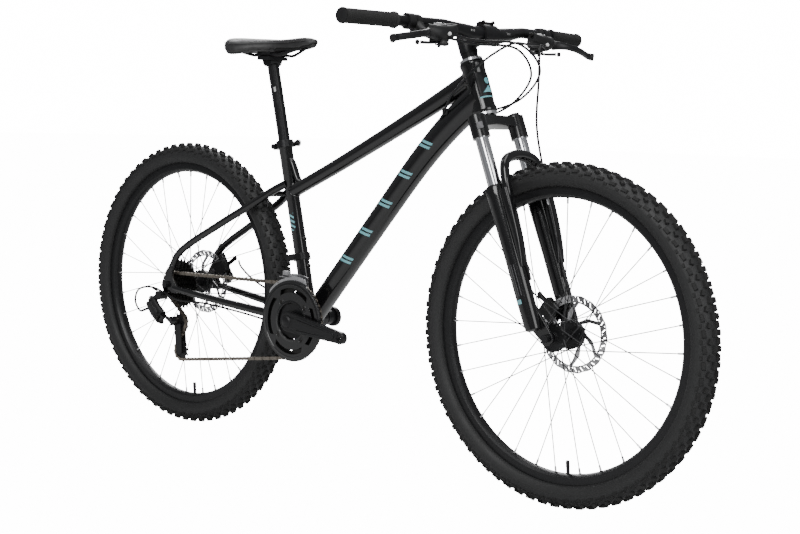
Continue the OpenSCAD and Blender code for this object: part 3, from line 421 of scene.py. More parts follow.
def shade(colour, k):
    return tuple(min(1.0, c * k) for c in colour)


def surface(name, colour, rough=0.4, metal=0.0, coat=0.0, fleck=0.2, scale=180, grain=900,
            height=0.02, strength=0.3, stretch=None, wear=0.25, shine=0.35):
    """A finish with cloudy colour, uneven roughness and a fine grain."""
    n = Nodes(name)
    cloud = n.noise(scale, 5, stretch)
    n.link(n.mix(cloud, shade(colour, 1 - fleck), shade(colour, 1 + fleck)), n.bsdf.inputs["Base Color"])
    patch = n.noise(scale / 7, 3)
    n.link(n.spread(patch, rough * (1 - wear), rough * (1 + wear)), n.bsdf.inputs["Roughness"])
    n.bsdf.inputs["Metallic"].default_value = metal
    n.bsdf.inputs["Coat Weight"].default_value = coat
    n.bsdf.inputs["Coat Roughness"].default_value = 0.06
    n.bsdf.inputs["Specular IOR Level"].default_value = shine
    n.bump(n.noise(grain, 3, stretch), strength, height)
    n.colour = n.bsdf.inputs["Base Color"].links[0].from_socket
    return n


TEAL = (0.16, 0.42, 0.46)
BLACK_PAINT = (0.0045, 0.0045, 0.005)

alloy_black = surface("satin_black_alloy", (0.012, 0.012, 0.013), 0.36, 0.3, fleck=0.25, grain=1500).mat
plastic_black = surface("moulded_black", (0.008, 0.008, 0.0085), 0.48, grain=1100, height=0.05).mat
gloss_plastic = surface("gloss_black_plastic", (0.006, 0.006, 0.0065), 0.2, coat=0.3, height=0.01).mat
silver = surface("polished_alloy", (0.72, 0.72, 0.74), 0.22, 1.0, fleck=0.06, grain=1200, height=0.006).mat
chrome = surface("chrome", (0.8, 0.81, 0.83), 0.07, 1.0, fleck=0.04, grain=400, height=0.003,
                 strength=0.1).mat
steel = surface("brushed_steel", (0.5, 0.5, 0.51), 0.3, 1.0, fleck=0.12, grain=500,
                stretch=(1, 12, 1)).mat
spoke_steel = surface("spoke_steel", (0.04, 0.04, 0.042), 0.42, 0.5, fleck=0.15).mat
dark_steel = surface("black_oxide_steel", (0.03, 0.029, 0.028), 0.38, 0.85, fleck=0.35, grain=1300).mat
chain_steel = surface("oiled_chain_steel", (0.2, 0.18, 0.155), 0.33, 0.9, fleck=0.5, scale=90).mat
sheath = surface("cable_sheath", (0.007, 0.007, 0.0075), 0.32, grain=2500, height=0.02).mat
grip_rubber = surface("grip_rubber", (0.009, 0.009, 0.009), 0.72, fleck=0.3, grain=2600, height=0.05).mat
tread_rubber = surface("tread_rubber", (0.011, 0.011, 0.011), 0.78, fleck=0.4, grain=1600, height=0.09,
                       strength=0.5).mat
sidewall_rubber = surface("sidewall_rubber", (0.016, 0.016, 0.0165), 0.6, fleck=0.25, grain=2200,
                          height=0.05).mat
white_ink = surface("white_ink", (0.75, 0.75, 0.75), 0.5, fleck=0.06).mat


def frame_paint():
    """Gloss black with plain teal bars on the down tube and a teal band on the seat tube."""
    n = surface("frame_gloss_black", BLACK_PAINT, 0.16, coat=0.45, fleck=0.3, grain=260, height=0.012,
                strength=0.12)
    axis = (DOWN_BEND - BB).normalized()
    up = axis.cross(Y)
    u = n.along(BB, axis)
    v = n.along(BB, up)
    y = n.along((0, 0, 0), Y)
    slant = n.math("ADD", u, n.mul(v, 0.45))
    step = n.math("FRACT", n.math("DIVIDE", n.math("SUBTRACT", slant, 188), 86))
    stroke = n.either(n.below(step, 0.075), n.between(step, 0.125, 0.2))
    bars = n.mul(n.between(slant, 188, 560), stroke)
    bars = n.mul(bars, n.between(v, -15, 13))
    bars = n.mul(bars, n.above(n.size(y), 8))
    t = n.along(BB, SEAT_T)
    m = n.along(BB, SEAT_N)
    band = n.mul(n.between(t, 208, 248), n.between(m, -13, 7))
    wave = n.math("SINE", n.math("ADD", n.mul(t, 0.55), n.mul(m, 0.4)))
    band = n.mul(band, n.above(wave, 0.15))
    band = n.mul(band, n.below(n.size(y), 17))
    both = n.either(bars, band)
    n.stain(both, TEAL)
    return n.mat


def lower_paint():
    """Gloss black fork legs with a teal band low down and grey bars above it."""
    n = surface("fork_gloss_black", BLACK_PAINT, 0.18, coat=0.4, fleck=0.3, grain=260, height=0.012,
                strength=0.12)
    t = n.along(FOOT, STEER_T)
    side = n.along(FOOT, STEER_N)
    outer = n.above(n.size(n.along((0, 0, 0), Y)), 68)
    teal = n.mul(n.mul(n.between(t, 78, 87), outer), n.between(side, 8, 24))
    grey = n.mul(n.between(t, 94, 158), n.between(side, 12, 31))
    ticks = n.below(n.math("FRACT", n.math("DIVIDE", side, 5.5)), 0.2)
    grey = n.mul(n.mul(grey, ticks), outer)
    n.stain(grey, (0.1, 0.1, 0.105))
    n.stain(teal, TEAL)
    return n.mat


brushed = surface("brushed_steel", (0.5, 0.5, 0.51), 0.34, 1.0, fleck=0.5, grain=900, height=0.05).mat
label_grey = surface("label_grey", (0.1, 0.1, 0.105), 0.5, fleck=0.5, grain=700).mat

# ---------- frame ----------

DOWN_BEND = vec(212, 0, 724)
DOWN_TOP = steer(0, 0, 526)
TOP_FRONT = steer(0, 0, 568)
TOP_REAR = seat(0, 298)
SEATSTAY = [(-218, 13, 614), (-250, 27, 595), (-292, 42, 566), (-400, 57, 506), (-520, 66, 437),
            (-556, 70, 384)]
CHAINSTAY = [(-150, 24, 305), (-205, 36, 308), (-310, 52, 318), (-430, 64, 330), (-542, 70.5, 342)]


def mirrored(points, s):
    return [(x, y * s, z) for x, y, z in points]


def weld_bead(start, toward, r, host, host_axis, host_r):
    """The rippled bead where a round tube meets a round host tube."""
    d = Vector(toward).normalized()
    a = Vector(host_axis).normalized()
    u = d.orthogonal().normalized()
    w = d.cross(u)
    flat_d = d - d.dot(a) * a
    path = []
    for k in range(72):
        t = 2 * pi * k / 72
        o = Vector(start) + r * (cos(t) * u + sin(t) * w) - Vector(host)
        o_flat = o - o.dot(a) * a
        qa, qb, qc = flat_d.length_squared, o_flat.dot(flat_d), o_flat.length_squared - host_r ** 2
        root = qb * qb - qa * qc
        if root < 0:
            continue
        path.append(Vector(host) + o + ((-qb - sqrt(root)) / qa) * d)
    return tube(path, lambda share: 2.0 + 0.7 * abs(sin(share * pi * 36)), 8, closed=True)


def rear_local(x, z):
    """A point of the rear caliper's own frame, as (x, z) of the bike."""
    a = radians(34)
    return (REAR.x + x * cos(a) - z * sin(a), REAR.z + x * sin(a) + z * cos(a))


def brake_mount(place, bosses, web, boss_y, web_y):
    """Two bosses for a brake caliper and the web that carries them; place gives (x, z) of the bike."""
    shapes = []
    for low, high in bosses:
        corners = ((60, low), (82, low), (82, high), (60, high))
        shapes.append(plate([[place(*p) for p in corners]], boss_y, 11.8, ease=1.2))
    return shapes + [plate([[place(*p) for p in web]], web_y, 5, ease=1.0)]


def build_frame():
    down_dir = (DOWN_BEND - BB).normalized()
    reach = (DOWN_BEND - BB).length
    start, pull = BB + (reach - 120) * down_dir, BB + (reach + 45) * down_dir
    down_path = [BB + u * (reach - 120) * down_dir for u in (0, 0.1, 0.25, 0.4, 0.55, 0.7, 0.85)]
    down_path += [start.lerp(pull, v).lerp(pull.lerp(DOWN_TOP, v), v) for v in [k / 14 for k in range(15)]]
    top_dir = (TOP_FRONT - TOP_REAR).normalized()
    sag = vec(0, 0, -5)
    top_path = curve([TOP_REAR, TOP_REAR.lerp(TOP_FRONT, 0.3) + sag, TOP_REAR.lerp(TOP_FRONT, 0.7) + sag,
                      TOP_FRONT], 10)
    shapes = [
        tube(down_path, lambda u: (25.5 - 1.5 * sin(pi * u), 23.5 + 8 * u ** 4), 40, Y, 2.35),
        tube(top_path, lambda u: (15.2 + 3.2 * u, 14.6 + 5.5 * u ** 2), 36, Y, 2.3),
        lathe([(SEAT_TUBE_R, -10), (SEAT_TUBE_R, 408), (17.4, 411), (17.4, 418), (13.8, 418), (13.8, 60),
               (10, -10)], BB, SEAT_T, 56),
        lathe([(25.0, 487), (26.2, 489), (26.2, 495), (24.4, 502), (24.0, 540), (24.4, 585), (26.2, 592),
               (26.2, 598), (25.0, 600), (20.2, 600), (20.2, 487)], FOOT, STEER_T, 64),
        lathe([(21, -35.5), (22, -34.5), (22, -28), (21.2, -26), (21.2, 26), (22, 28), (22, 34.5), (21, 35.5),
               (17.6, 35.5), (17.6, -35.5)], BB, Y, 56),
        weld_bead(DOWN_TOP - 60 * STEER_N, (DOWN_TOP - DOWN_BEND), 25.5, FOOT, STEER_T, HEAD_R),
        weld_bead(TOP_FRONT - 60 * top_dir, top_dir, 18.8, FOOT, STEER_T, HEAD_R),
        weld_bead(TOP_REAR + 60 * top_dir, -top_dir, 15.4, BB, SEAT_T, SEAT_TUBE_R),
        weld_bead(seat(0, 120), -SEAT_T, SEAT_TUBE_R, BB - 200 * Y, Y, SHELL_R),
        weld_bead(BB + 90 * down_dir, -down_dir, 24.6, BB - 200 * Y, Y, SHELL_R),
    ]
    add = shapes.append
    strut = [seat(9, 376), seat(17, 362), TOP_REAR + 30 * top_dir + 12 * SEAT_T,
             TOP_REAR + 58 * top_dir + 4 * SEAT_T]
    add(tube(curve(strut, 6), lambda u: (8.5, 6.0), 20, Y, 2.3))
    for s in (-1, 1):
        add(tube(curve(mirrored(SEATSTAY, s), 8),
                           lambda u: (8.2 + 0.8 * (1 - u), 9.2 - 1.4 * u), 24, None, 2.2))
        add(tube(curve(mirrored(CHAINSTAY, s), 8),
                           lambda u: (9.0 - 1.2 * u, 12.5 - 4.8 * u ** 0.6), 24, Y, 2.3))
        outline = circle(REAR.x, REAR.z, 18.5, 40)[13:33]
        outline += [(-551, 330), (-532, 330), (-523, 341), (-536, 356), (-546, 372), (-548, 390), (-562, 392),
                    (-571, 380), (-574, 366)]
        add(plate([outline], s * 71, 7, ease=1.0))
        add(knob((-262, -29 * s, 588), (-262, 29 * s, 588), 6.5))
        add(knob((-548, s * 74, 395), (-548, s * 77, 395), 5.5))
    add(knob((-192, -32, 309), (-192, 32, 309), 7))
    add(plate([circle(-577, 322, 11, 32), circle(-577, 322, 5.1, 20)], -71, 7.2, ease=0.6))
    add(plate([[(-584, 345), (-572, 322), (-560, 330), (-560, 345)]], -71, 7, ease=0.6))
    web = ((62, -40), (80, -34), (83, 30), (66, 38), (52, 34), (54, 20), (66, 10), (64, -16))
    shapes += brake_mount(rear_local, ((-38, -21), (21, 36)), web, 65.3, 68.6)
    for t in BOSSES:
        add(knob(seat(12, t), seat(19, t), 5.2))
    obj = piece("frame_tubes", shapes, frame_paint(), "frame", smooth=34)
    details = []
    for s in (-1, 1):
        details.append(lathe([(5.2, -2.2), (7.6, -1.2), (7.6, 1.2), (5.2, 2.2)], (262, s * 25.5, 790), Y, 24))
    detail("cable_ports", details, plastic_black, "frame")
    bolts = [knob(seat(18.5, t), seat(21.5, t), 4.2, 0.9, 20) for t in BOSSES]
    detail("bottle_boss_bolts", bolts, dark_steel, "frame")
    return obj


def build_badge():
    """A plain two-colour panel on the front of the head tube: a frame, a disc and a hill."""
    n = surface("badge", (0.004, 0.004, 0.0045), 0.4, shine=0.2, height=0.01)
    t = n.math("SUBTRACT", n.along(FOOT, STEER_T), 545)
    y = n.along((0, 0, 0), Y)
    border = n.above(n.either(n.math("DIVIDE", n.size(t), 28.0),
                              n.math("DIVIDE", n.size(n.math("ADD", y, 1.0)), 20.6)), 0.962)
    ring = n.math("POWER", n.math("ADD", n.math("POWER", n.size(n.math("SUBTRACT", t, 6)), 2.0),
                                  n.math("POWER", n.size(y), 2.0)), 0.5)
    disc = n.below(ring, 7)
    hill = n.mul(n.below(n.math("ADD", t, n.size(y)), -4), n.above(t, -19))
    n.link(n.mix(n.either(n.either(border, disc), hill), (0.01, 0.01, 0.011), TEAL),
           n.bsdf.inputs["Base Color"])
    points, faces = [], []
    rows, cols = 10, 22
    for i in range(rows + 1):
        t = 514 + 58 * i / rows
        for k in range(cols + 1):
            a = radians(-60 + 104 * k / cols)
            edge = 0.0 if 0 < i < rows and 0 < k < cols else -1.2
            r = 25.2 + edge
            points.append(FOOT + t * STEER_T + r * (cos(a) * STEER_N + sin(a) * Y))
    for i in range(rows):
        for k in range(cols):
            a = i * (cols + 1) + k
            faces.append([a, a + 1, a + cols + 2, a + cols + 1])
    detail("head_badge", (points, faces), n.mat, "frame")


# ---------- wheels ----------

TYRE_MID, TYRE_A, TYRE_B = 318.0, 28.0, 25.0


def carcass(theta):
    """(distance from the axle, sideways) on the tyre's outside; theta 90 is the crown."""
    a = radians(theta)
    return TYRE_MID + TYRE_B * sin(a), TYRE_A * cos(a)


def tyre(name, node, centre):
    profile = [(298.5, 13.0)]
    for theta in range(-42, 223, 6):
        r, y = carcass(theta)
        ridge = 0.5 if theta in (-6, 12, 168, 186) else 0.0
        profile.append((r, y + copysign(ridge, y)))
    profile.append((298.5, -13.0))
    casing = lathe(profile, centre, Y, 144)
    obj = piece(name + "_casing", casing, sidewall_rubber, node)
    rows = [(12, 15.5, 8.4, 6.0, 10, 0.0), (-12, 15.5, 8.4, 6.0, -10, 0.5), (34, 11.5, 8.0, 6.0, 24, 0.5),
            (-34, 11.5, 8.0, 6.0, -24, 0.0), (57, 16.0, 8.0, 3.9, -6, 0.0), (-57, 16.0, 8.0, 3.9, 6, 0.5),
            (70, 9.0, 6.0, 2.2, 0, 0.5), (-70, 9.0, 6.0, 2.2, 0, 0.0)]
    pitches = 70
    points, faces = [], []
    for k in range(pitches):
        for lean, long, wide, tall, skew, phase in rows:
            angle = 2 * pi * (k + phase) / pitches
            r, y = carcass(90 - lean)
            out = vec(cos(angle), 0, sin(angle))
            along = vec(-sin(angle), 0, cos(angle))
            tilt = radians(lean)
            normal = (out * cos(tilt) + Y * sin(tilt)).normalized()
            across = along.cross(normal)
            turn = Matrix.Rotation(radians(skew), 3, normal)
            u, w = turn @ along, turn @ across
            foot = Vector(centre) + r * out + y * Y - 1.2 * normal
            base = len(points)
            for rise, grow in ((0, 1.0), (tall * 0.8, 0.86), (tall + 1.2 - 0.2, 0.74)):
                for a, b in ((-1, -1), (1, -1), (1, 1), (-1, 1)):
                    points.append(foot + rise * normal + 0.5 * grow * (a * long * u + b * wide * w))
            for level in (base, base + 4):
                for q in range(4):
                    m = (q + 1) % 4
                    faces.append([level + q, level + m, level + 4 + m, level + 4 + q])
            faces.append([base + 8, base + 9, base + 10, base + 11])
    detail(name + "_tread", (points, faces), tread_rubber, node, smooth=20)
    return obj


def rim(name, node, centre):
    half = [(288, 5), (292, 8), (293, 11.5), (299.3, 11.9), (299.5, 13.3), (299.2, 14.1), (298, 14.5),
            (284, 13.9), (279.5, 9), (277.5, 4.5)]
    profile = half + [(277, 0)] + [(r, -y) for r, y in reversed(half)]
    eyelets = []
    for k in range(SPOKES):
        a = 2 * pi * k / SPOKES
        out = vec(cos(a), 0, sin(a))
        eyelets.append(lathe([(2.6, -0.6), (3.6, -0.2), (3.6, 0.4), (2.6, 0.9)],
                             Vector(centre) + 277.2 * out + (2.5 if k % 2 else -2.5) * Y, -out, 10))
    piece(name, lathe(profile, centre, Y, 160), alloy_black, node, smooth=28)
    detail(name + "_eyelets", eyelets, dark_steel, node)


def spokes(name, node, centre, left_y, right_y):
    wires, nipples = [], []
    flange, lead = 26.5, 6 * 360 / SPOKES
    for i in range(SPOKES):
        y = left_y if i % 2 else right_y
        out = -1 if (i // 2) % 2 == 0 else 1
        rim_a = radians(i * 360 / SPOKES)
        hub_a = rim_a + out * radians(lead)
        face = copysign(1, y)
        hub = Vector(centre) + flange * vec(cos(hub_a), 0, sin(hub_a)) + (y + out * face * 2.3) * Y
        elbow = hub - out * face * 5.2 * Y
        edge = Vector(centre) + 283 * vec(cos(rim_a), 0, sin(rim_a)) + (2.5 if i % 2 else -2.5) * Y
        run = (edge - hub).normalized()
        wires.append(tube([elbow, hub - out * face * 0.8 * Y, hub + 0.8 * run, hub + 24 * run, hub + 30 * run,
                           edge - 30 * run, edge], lambda u: 1.3 if u < 0.11 else 1.12, 7))
        wires.append(knob(elbow, elbow - out * face * 1.0 * Y, 2.0, 0.3, 10))
        nipples.append(tube([edge - 18 * run, edge - 16.5 * run, edge - 8 * run, edge - 7 * run, edge],
                            lambda u: 1.5 if u < 0.06 else 2.1, 8))
    piece(name, wires, spoke_steel, node)
    detail(name + "_nipples", nipples, silver, node)


def rotor(name, node, centre, y0):
    outline = [polar(79.2 + 0.8 * cos(radians(18 * d)), d) for d in [2.5 * k for k in range(144)]]
    loops = [outline, circle(0, 0, 17.6, 36)]
    for k in range(6):
        a0, a1 = 60 * k + 9.5, 60 * k + 50.5
        inner = [polar(28, a0 + (a1 - a0) * j / 6) for j in range(7)]
        b0, b1 = a0 - 39.6, a1 - 28.4
        outer = [polar(64.5, b1 + (b0 - b1) * j / 10) for j in range(11)]
        loops.append(inner + [polar(46, (a1 + b1) / 2)] + outer + [polar(46, (a0 + b0) / 2)])
    for k in range(30):
        a = 12 * k
        loops.append([polar(72.0 + dr, a + da) for dr, da in
                      ((-4.2, -2.4), (-3.0, -3.2), (4.4, 0.6), (4.6, 1.8), (3.2, 2.4), (-4.4, -1.2))])
        x, z = polar(76.2 if k % 2 else 68.4, a + 6.2)
        loops.append(circle(x, z, 1.5, 12))
    piece(name, plate(loops, y0 + 0.9, 1.8, centre, 0.15), steel, node, smooth=25)
    bolts = []
    for k in range(6):
        x, z = polar(22, 60 * k)
        at = Vector(centre) + vec(x, y0 + 1.85, z)
        bolts.append(lathe([(1.8, 0.9), (1.9, 2.4), (3.9, 2.3), (4.2, 1.6), (4.2, 0)], at, Y, 20, False))
    detail(name + "_bolts", bolts, dark_steel, node)


def valve(name, node, centre):
    d = vec(0.098, 0, -0.995)
    at = Vector(centre)
    cap = tube([at + 266 * d, at + 264.5 * d, at + 252 * d, at + 250.5 * d],
               lambda u: 3.0 if u < 0.05 or u > 0.95 else 4.2, 16)
    stem = rod(at + 294 * d, at + 264 * d, 3.85, 18)
    detail(name, [stem, cap], plastic_black, node)


# ---------- soft and rubber goods ----------

def puff(obj, cap, pinned):
    """Pressure pads the closed shape out; points for which pinned(co) holds stay put."""
    remesh = obj.modifiers.new("even", "REMESH")
    remesh.mode = "VOXEL"
    remesh.voxel_size = 4.5 * MM
    bpy.context.view_layer.update()
    graph = bpy.context.evaluated_depsgraph_get()
    even = bpy.data.meshes.new_from_object(obj.evaluated_get(graph))
    obj.modifiers.remove(remesh)
    obj.data = even
    group = obj.vertex_groups.new(name="held")
    group.add([v.index for v in even.vertices if pinned(v.co / MM)], 1.0, "REPLACE")
    rest = [v.co.copy() for v in even.vertices]
    cloth = obj.modifiers.new("cloth", "CLOTH")
    cloth.settings.use_pressure = True
    cloth.settings.uniform_pressure_force = 4.0
    cloth.settings.vertex_group_mass = "held"
    cloth.settings.effector_weights.gravity = 0.0
    scene = bpy.context.scene
    for step in range(1, 21):
        scene.frame_set(step)
    graph = bpy.context.evaluated_depsgraph_get()
    grown = bpy.data.meshes.new_from_object(obj.evaluated_get(graph))
    obj.modifiers.remove(cloth)
    for v, start, moved in zip(even.vertices, rest, grown.vertices):
        d = moved.co - start
        if d.length > cap * MM:
            d = d.normalized() * cap * MM
        v.co = start + d
    scene.frame_set(1)
    work = bmesh.new()
    work.from_mesh(even)
    for _ in range(3):
        bmesh.ops.smooth_vert(work, verts=work.verts, factor=0.5, use_axis_x=True, use_axis_y=True,
                              use_axis_z=True)
    work.to_mesh(even)
    work.free()
    even.polygons.foreach_set("use_smooth", [True] * len(even.polygons))
    sub = obj.modifiers.new("fine", "SUBSURF")
    sub.levels = sub.render_levels = 1
    return obj


SADDLE_LO, SADDLE_HI = (Vector(c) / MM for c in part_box("saddle_cover"))
SADDLE_L = SADDLE_HI.x - SADDLE_LO.x
SADDLE_W = SADDLE_HI.y - SADDLE_LO.y
SADDLE_TOP = SADDLE_HI.z


def saddle_half(u):
    """Half the saddle's width; u runs from the tail, 0, to the nose, 1."""
    if u < 0.2:
        return SADDLE_W / 2 * sin(pi / 2 * min(1, (u + 0.03) / 0.23)) ** 0.5
    if u < 0.64:
        v = (u - 0.2) / 0.44
        return SADDLE_W / 2 + (22 - SADDLE_W / 2) * (v * v * (3 - 2 * v)) ** 0.9
    v = (u - 0.64) / 0.36
    return (22 - 2 * v) * sqrt(max(0.02, 1 - max(0.0, (v - 0.6) / 0.41) ** 2))


def saddle_drop(u):
    """How far the side of the saddle hangs below its top."""
    ends = min(1.0, (u + 0.02) / 0.16) ** 0.5
    nose = 1 - 0.55 * max(0.0, (u - 0.8) / 0.2) ** 2
    return (25 + 13 * exp(-((u - 0.2) / 0.17) ** 2) + 3 * u) * (0.6 + 0.4 * ends) * nose


def saddle_crown(u):
    return SADDLE_TOP - 3.5 - 6.0 * sin(pi * min(1, u / 0.9)) - 7.0 * max(0, (u - 0.8) / 0.2) ** 2


def saddle_section(u, inset, sink, below):
    """A closed section: the crowned top, the rolled edge and the underside."""
    w = max(saddle_half(u) - inset, 3)
    top = saddle_crown(u) - sink
    drop = saddle_drop(u) - sink + below
    x = SADDLE_LO.x + inset + (SADDLE_L - 2 * inset) * u
    points = []
    for k in range(21):
        s = -1 + 2 * k / 20
        points.append(vec(x, w * sin(pi / 2 * s), top - drop * abs(s) ** 3.2))
    for k in range(1, 10):
        s = 1 - 2 * k / 10
        points.append(vec(x, (w - 4) * s, top - drop + 6 * (1 - s * s)))
    return points


def saddle_loft(inset, sink, below):
    stations = [0.004 + 0.992 * (0.5 - 0.5 * cos(pi * k / 34)) for k in range(35)]
    rings = [saddle_section(u, inset, sink, below) for u in stations]
    return [q for ring in rings for q in ring], skin(len(rings), len(rings[0]))


def build_saddle():
    obj = mesh_object("saddle_pad", saddle_loft(1.5, 2.0, 0))

    def held(co):
        u = (co.x - SADDLE_LO.x) / SADDLE_L
        return co.z < saddle_crown(min(max(u, 0), 1)) - 17

    puff(obj, 2.6, held)
    vinyl = Nodes("saddle_vinyl")
    grain = vinyl.put("ShaderNodeTexVoronoi", Vector=vinyl.where, Scale=520.0).outputs["Distance"]
    cloud = vinyl.noise(60, 4)
    vinyl.link(vinyl.mix(cloud, (0.012, 0.012, 0.012), (0.024, 0.024, 0.025)),
               vinyl.bsdf.inputs["Base Color"])
    vinyl.link(vinyl.spread(vinyl.noise(25, 3), 0.42, 0.6), vinyl.bsdf.inputs["Roughness"])
    vinyl.bump(grain, 0.35, 0.12)
    dress(obj, vinyl.mat, BODY["saddle_cover"], ("saddle_cover",))
    seams = []
    for s in (-1, 1):
        line = []
        for k in range(25):
            u = 0.05 + 0.86 * k / 24
            x = SADDLE_LO.x + SADDLE_L * u
            height = saddle_crown(u) - 1.1 - saddle_drop(u) * 0.76 ** 3.2
            line.append((x, s * saddle_half(u) * 0.93, height))
        seams.append(tube(curve(line, 3), 0.7, 8))
    detail("saddle_seams", seams, grip_rubber, "saddle_cover")
    piece("saddle_shell", saddle_loft(5.5, 9, 2.0), plastic_black, "saddle_base")
    refine("saddle_clamp", alloy_black, 0.5)


def build_grips():
    shapes, caps = [], []
    for s in (-1, 1):
        inner, outer = bar_point(s * 259), bar_point(s * 390.5)
        axis = (outer - inner).normalized()
        length = (outer - inner).length
        profile = [(11.3, 0), (16.2, 0), (16.8, 1), (16.8, 3.5), (16.0, 4.6), (14.4, 5.4)]
        x = 7.0
        while x < length - 9:
            profile += [(13.9, x), (13.9, x + 1.2), (14.8, x + 1.8), (14.8, x + 3.6)]
            x += 4.4
        profile += [(14.2, length - 6.5), (15.8, length - 5), (15.8, length - 1.5), (11.3, length - 1.5)]
        shapes.append(lathe(profile, inner, axis, 48))
        caps.append(lathe([(r, length + d) for r, d in ((3.5, -1), (12, -1.6), (15, -1.2), (15.2, -0.4),
                                                        (14.2, 0), (4.5, 0.2))], inner, axis, 40, False))
    piece("grips_ribbed", shapes, grip_rubber, "grips", smooth=30)
    detail("grip_caps", caps, plastic_black, "grips")


# ---------- cables ----------

def cable(points, r=2.5, steps=10, sides=12):
    return tube(curve(points, steps), r, sides)


def control(s, forward, along, drop):
    """A point beside the handlebar: along its half, forward of it and above it."""
    return bar_point(s * along) + vec(forward, 0, drop)


def build_cables():
    left = control(1, 26, 168, -36)
    right = control(-1, 26, 168, -36)
    port_r, port_l = vec(262, -28, 790), vec(262, 28, 790)
    runs = [
        ("gear_cable_left", [left + vec(21, -4, 12), (385, 90, 935), (400, 10, 930), (372, -48, 890),
                             (300, -46, 830), port_r, port_r + vec(-16, 6, -18)]),
        ("gear_cable_right", [right + vec(21, 4, 14), (388, -80, 932), (410, 30, 930), (415, 95, 880),
                              (370, 90, 820), (300, 50, 790), port_l, port_l + vec(-18, -6, -10)]),
        ("brake_cable_right", [right + vec(21, 4, 6), (383, -80, 925), (400, 30, 922), (400, 85, 870),
                               (355, 82, 810), (300, 44, 778), port_l + vec(-8, 2, -9),
                               port_l + vec(-28, -8, -20)]),
    ]
    for name, points in runs:
        obj = mesh_object(name, cable(points))
        dress(obj, sheath, None, ("steering_cables",))
        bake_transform(obj)
    hose = mesh_object("brake_cable_left", cable(
        [left + vec(21, -4, 4), (395, 120, 930), (412, 96, 860), (415, 92, 760), (442, 96, 640),
         (470, 94, 520), (478, 80, 440)]))
    dress(hose, sheath, None, ("steering_cables",))
    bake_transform(hose)
    loop = [(-200, -33, 286), (-310, -50, 303), (-430, -66, 315), (-520, -78, 316), (-600, -84, 338),
            (-655, -86, 330), (-668, -88, 300), (-648, -88, 276), (-622, -86, 284)]
    rear = [(-205, 34, 324), (-260, 44, 335), (-340, 54, 350), (-405, 60, 372), (-440, 58, 396),
            (-448, 56, 412)]
    shapes = [cable(loop), cable(rear), rod((-604, -84, 337), (-590, -83.5, 333), 3.1, 14),
              rod((-640, -88, 277), (-622, -86, 284), 3.3, 14)]
    piece("rear_cables", shapes, sheath, "frame_cables")
    ferrules = [rod(left + vec(12, -3, 10), left + vec(26, -3, 13), 3.6),
                rod(right + vec(12, 3, 12), right + vec(26, 3, 15), 3.6)]
    detail("cable_ferrules", ferrules, white_ink, "control_pods")


# ---------- handlebar and controls ----------

def build_cockpit():
    path = [bar_point(y) for y in range(-388, 389, 8)]

    def size(u):
        y = abs(-388 + 776 * u)
        if y < 40:
            return 15.9
        if y < 130:
            v = (y - 40) / 90
            return 15.9 - 4.8 * v * v * (3 - 2 * v)
        return 11.1
    bar = surface("bar_black", (0.008, 0.008, 0.009), 0.34, 0.2, fleck=0.25, grain=1500)
    y = bar.size(bar.along((0, 0, 0), Y))
    ticks = bar.mul(bar.between(y, 52, 66), bar.below(bar.math("FRACT", bar.math("DIVIDE", y, 4.6)), 0.2))
    rim_marks = bar.mul(ticks, bar.between(bar.along(FOOT + 640 * STEER_T, STEER_T), -2.2, 2.2))
    bar.stain(rim_marks, (0.7, 0.7, 0.7))
    piece("bar_tube", tube(path, size, 32, X), bar.mat, "handlebar")
    refine("stem", alloy_black, 1.6, segments=3)
    refine("stem_bolts", dark_steel, 0.3)
    build_grips()
    refine("control_pods", plastic_black, 1.6, segments=3)
    for s, word in ((1, "left"), (-1, "right")):
        build_lever(s, word)
        build_finger_lever(s, "thumb_lever_" + word, plastic_black, -4, 10, (-32, 26))
        build_finger_lever(s, "trigger_" + word, plastic_black, -8, 8, (34, 24))
        build_pod(s, word)


def build_lever(s, word):
    """A two-finger blade that curves out from its pivot and hooks forward at the tip."""
    pivot = control(s, 36, 212, -22)
    bend = [(0, -2, 0), (12, 8, 0), (22, 24, -2), (27, 44, -5), (26, 68, -9), (21, 92, -13), (17, 108, -16),
            (19, 119, -18), (23, 125, -19)]
    blade = [pivot + vec(x, s * y, z) for x, y, z in bend]

    def size(u):
        wide = 10.5 - 3.5 * min(1, u / 0.25) + 1.5 * max(0.0, (u - 0.85) / 0.15)
        return (4.6 + 1.4 * max(0.0, (u - 0.9) / 0.1), wide)
    hub = lathe([(2.6, -4), (6.6, -3.6), (7.2, -2.5), (7.2, 2.5), (6.6, 3.6), (2.6, 4)], pivot, Z, 28)
    piece("blade_" + word, [tube(curve(blade, 6), size, 20, X, 2.3), hub], alloy_black,
          "brake_lever_" + word)
    pin = knob(pivot + vec(0, 0, -6.2), pivot + vec(0, 0, 6.2), 2.5, 0.5, 16)
    detail("lever_pin_" + word, pin, silver, "control_pods")


SHIFT_AT = (26, 168, -36)
BRACKET_Y = 205


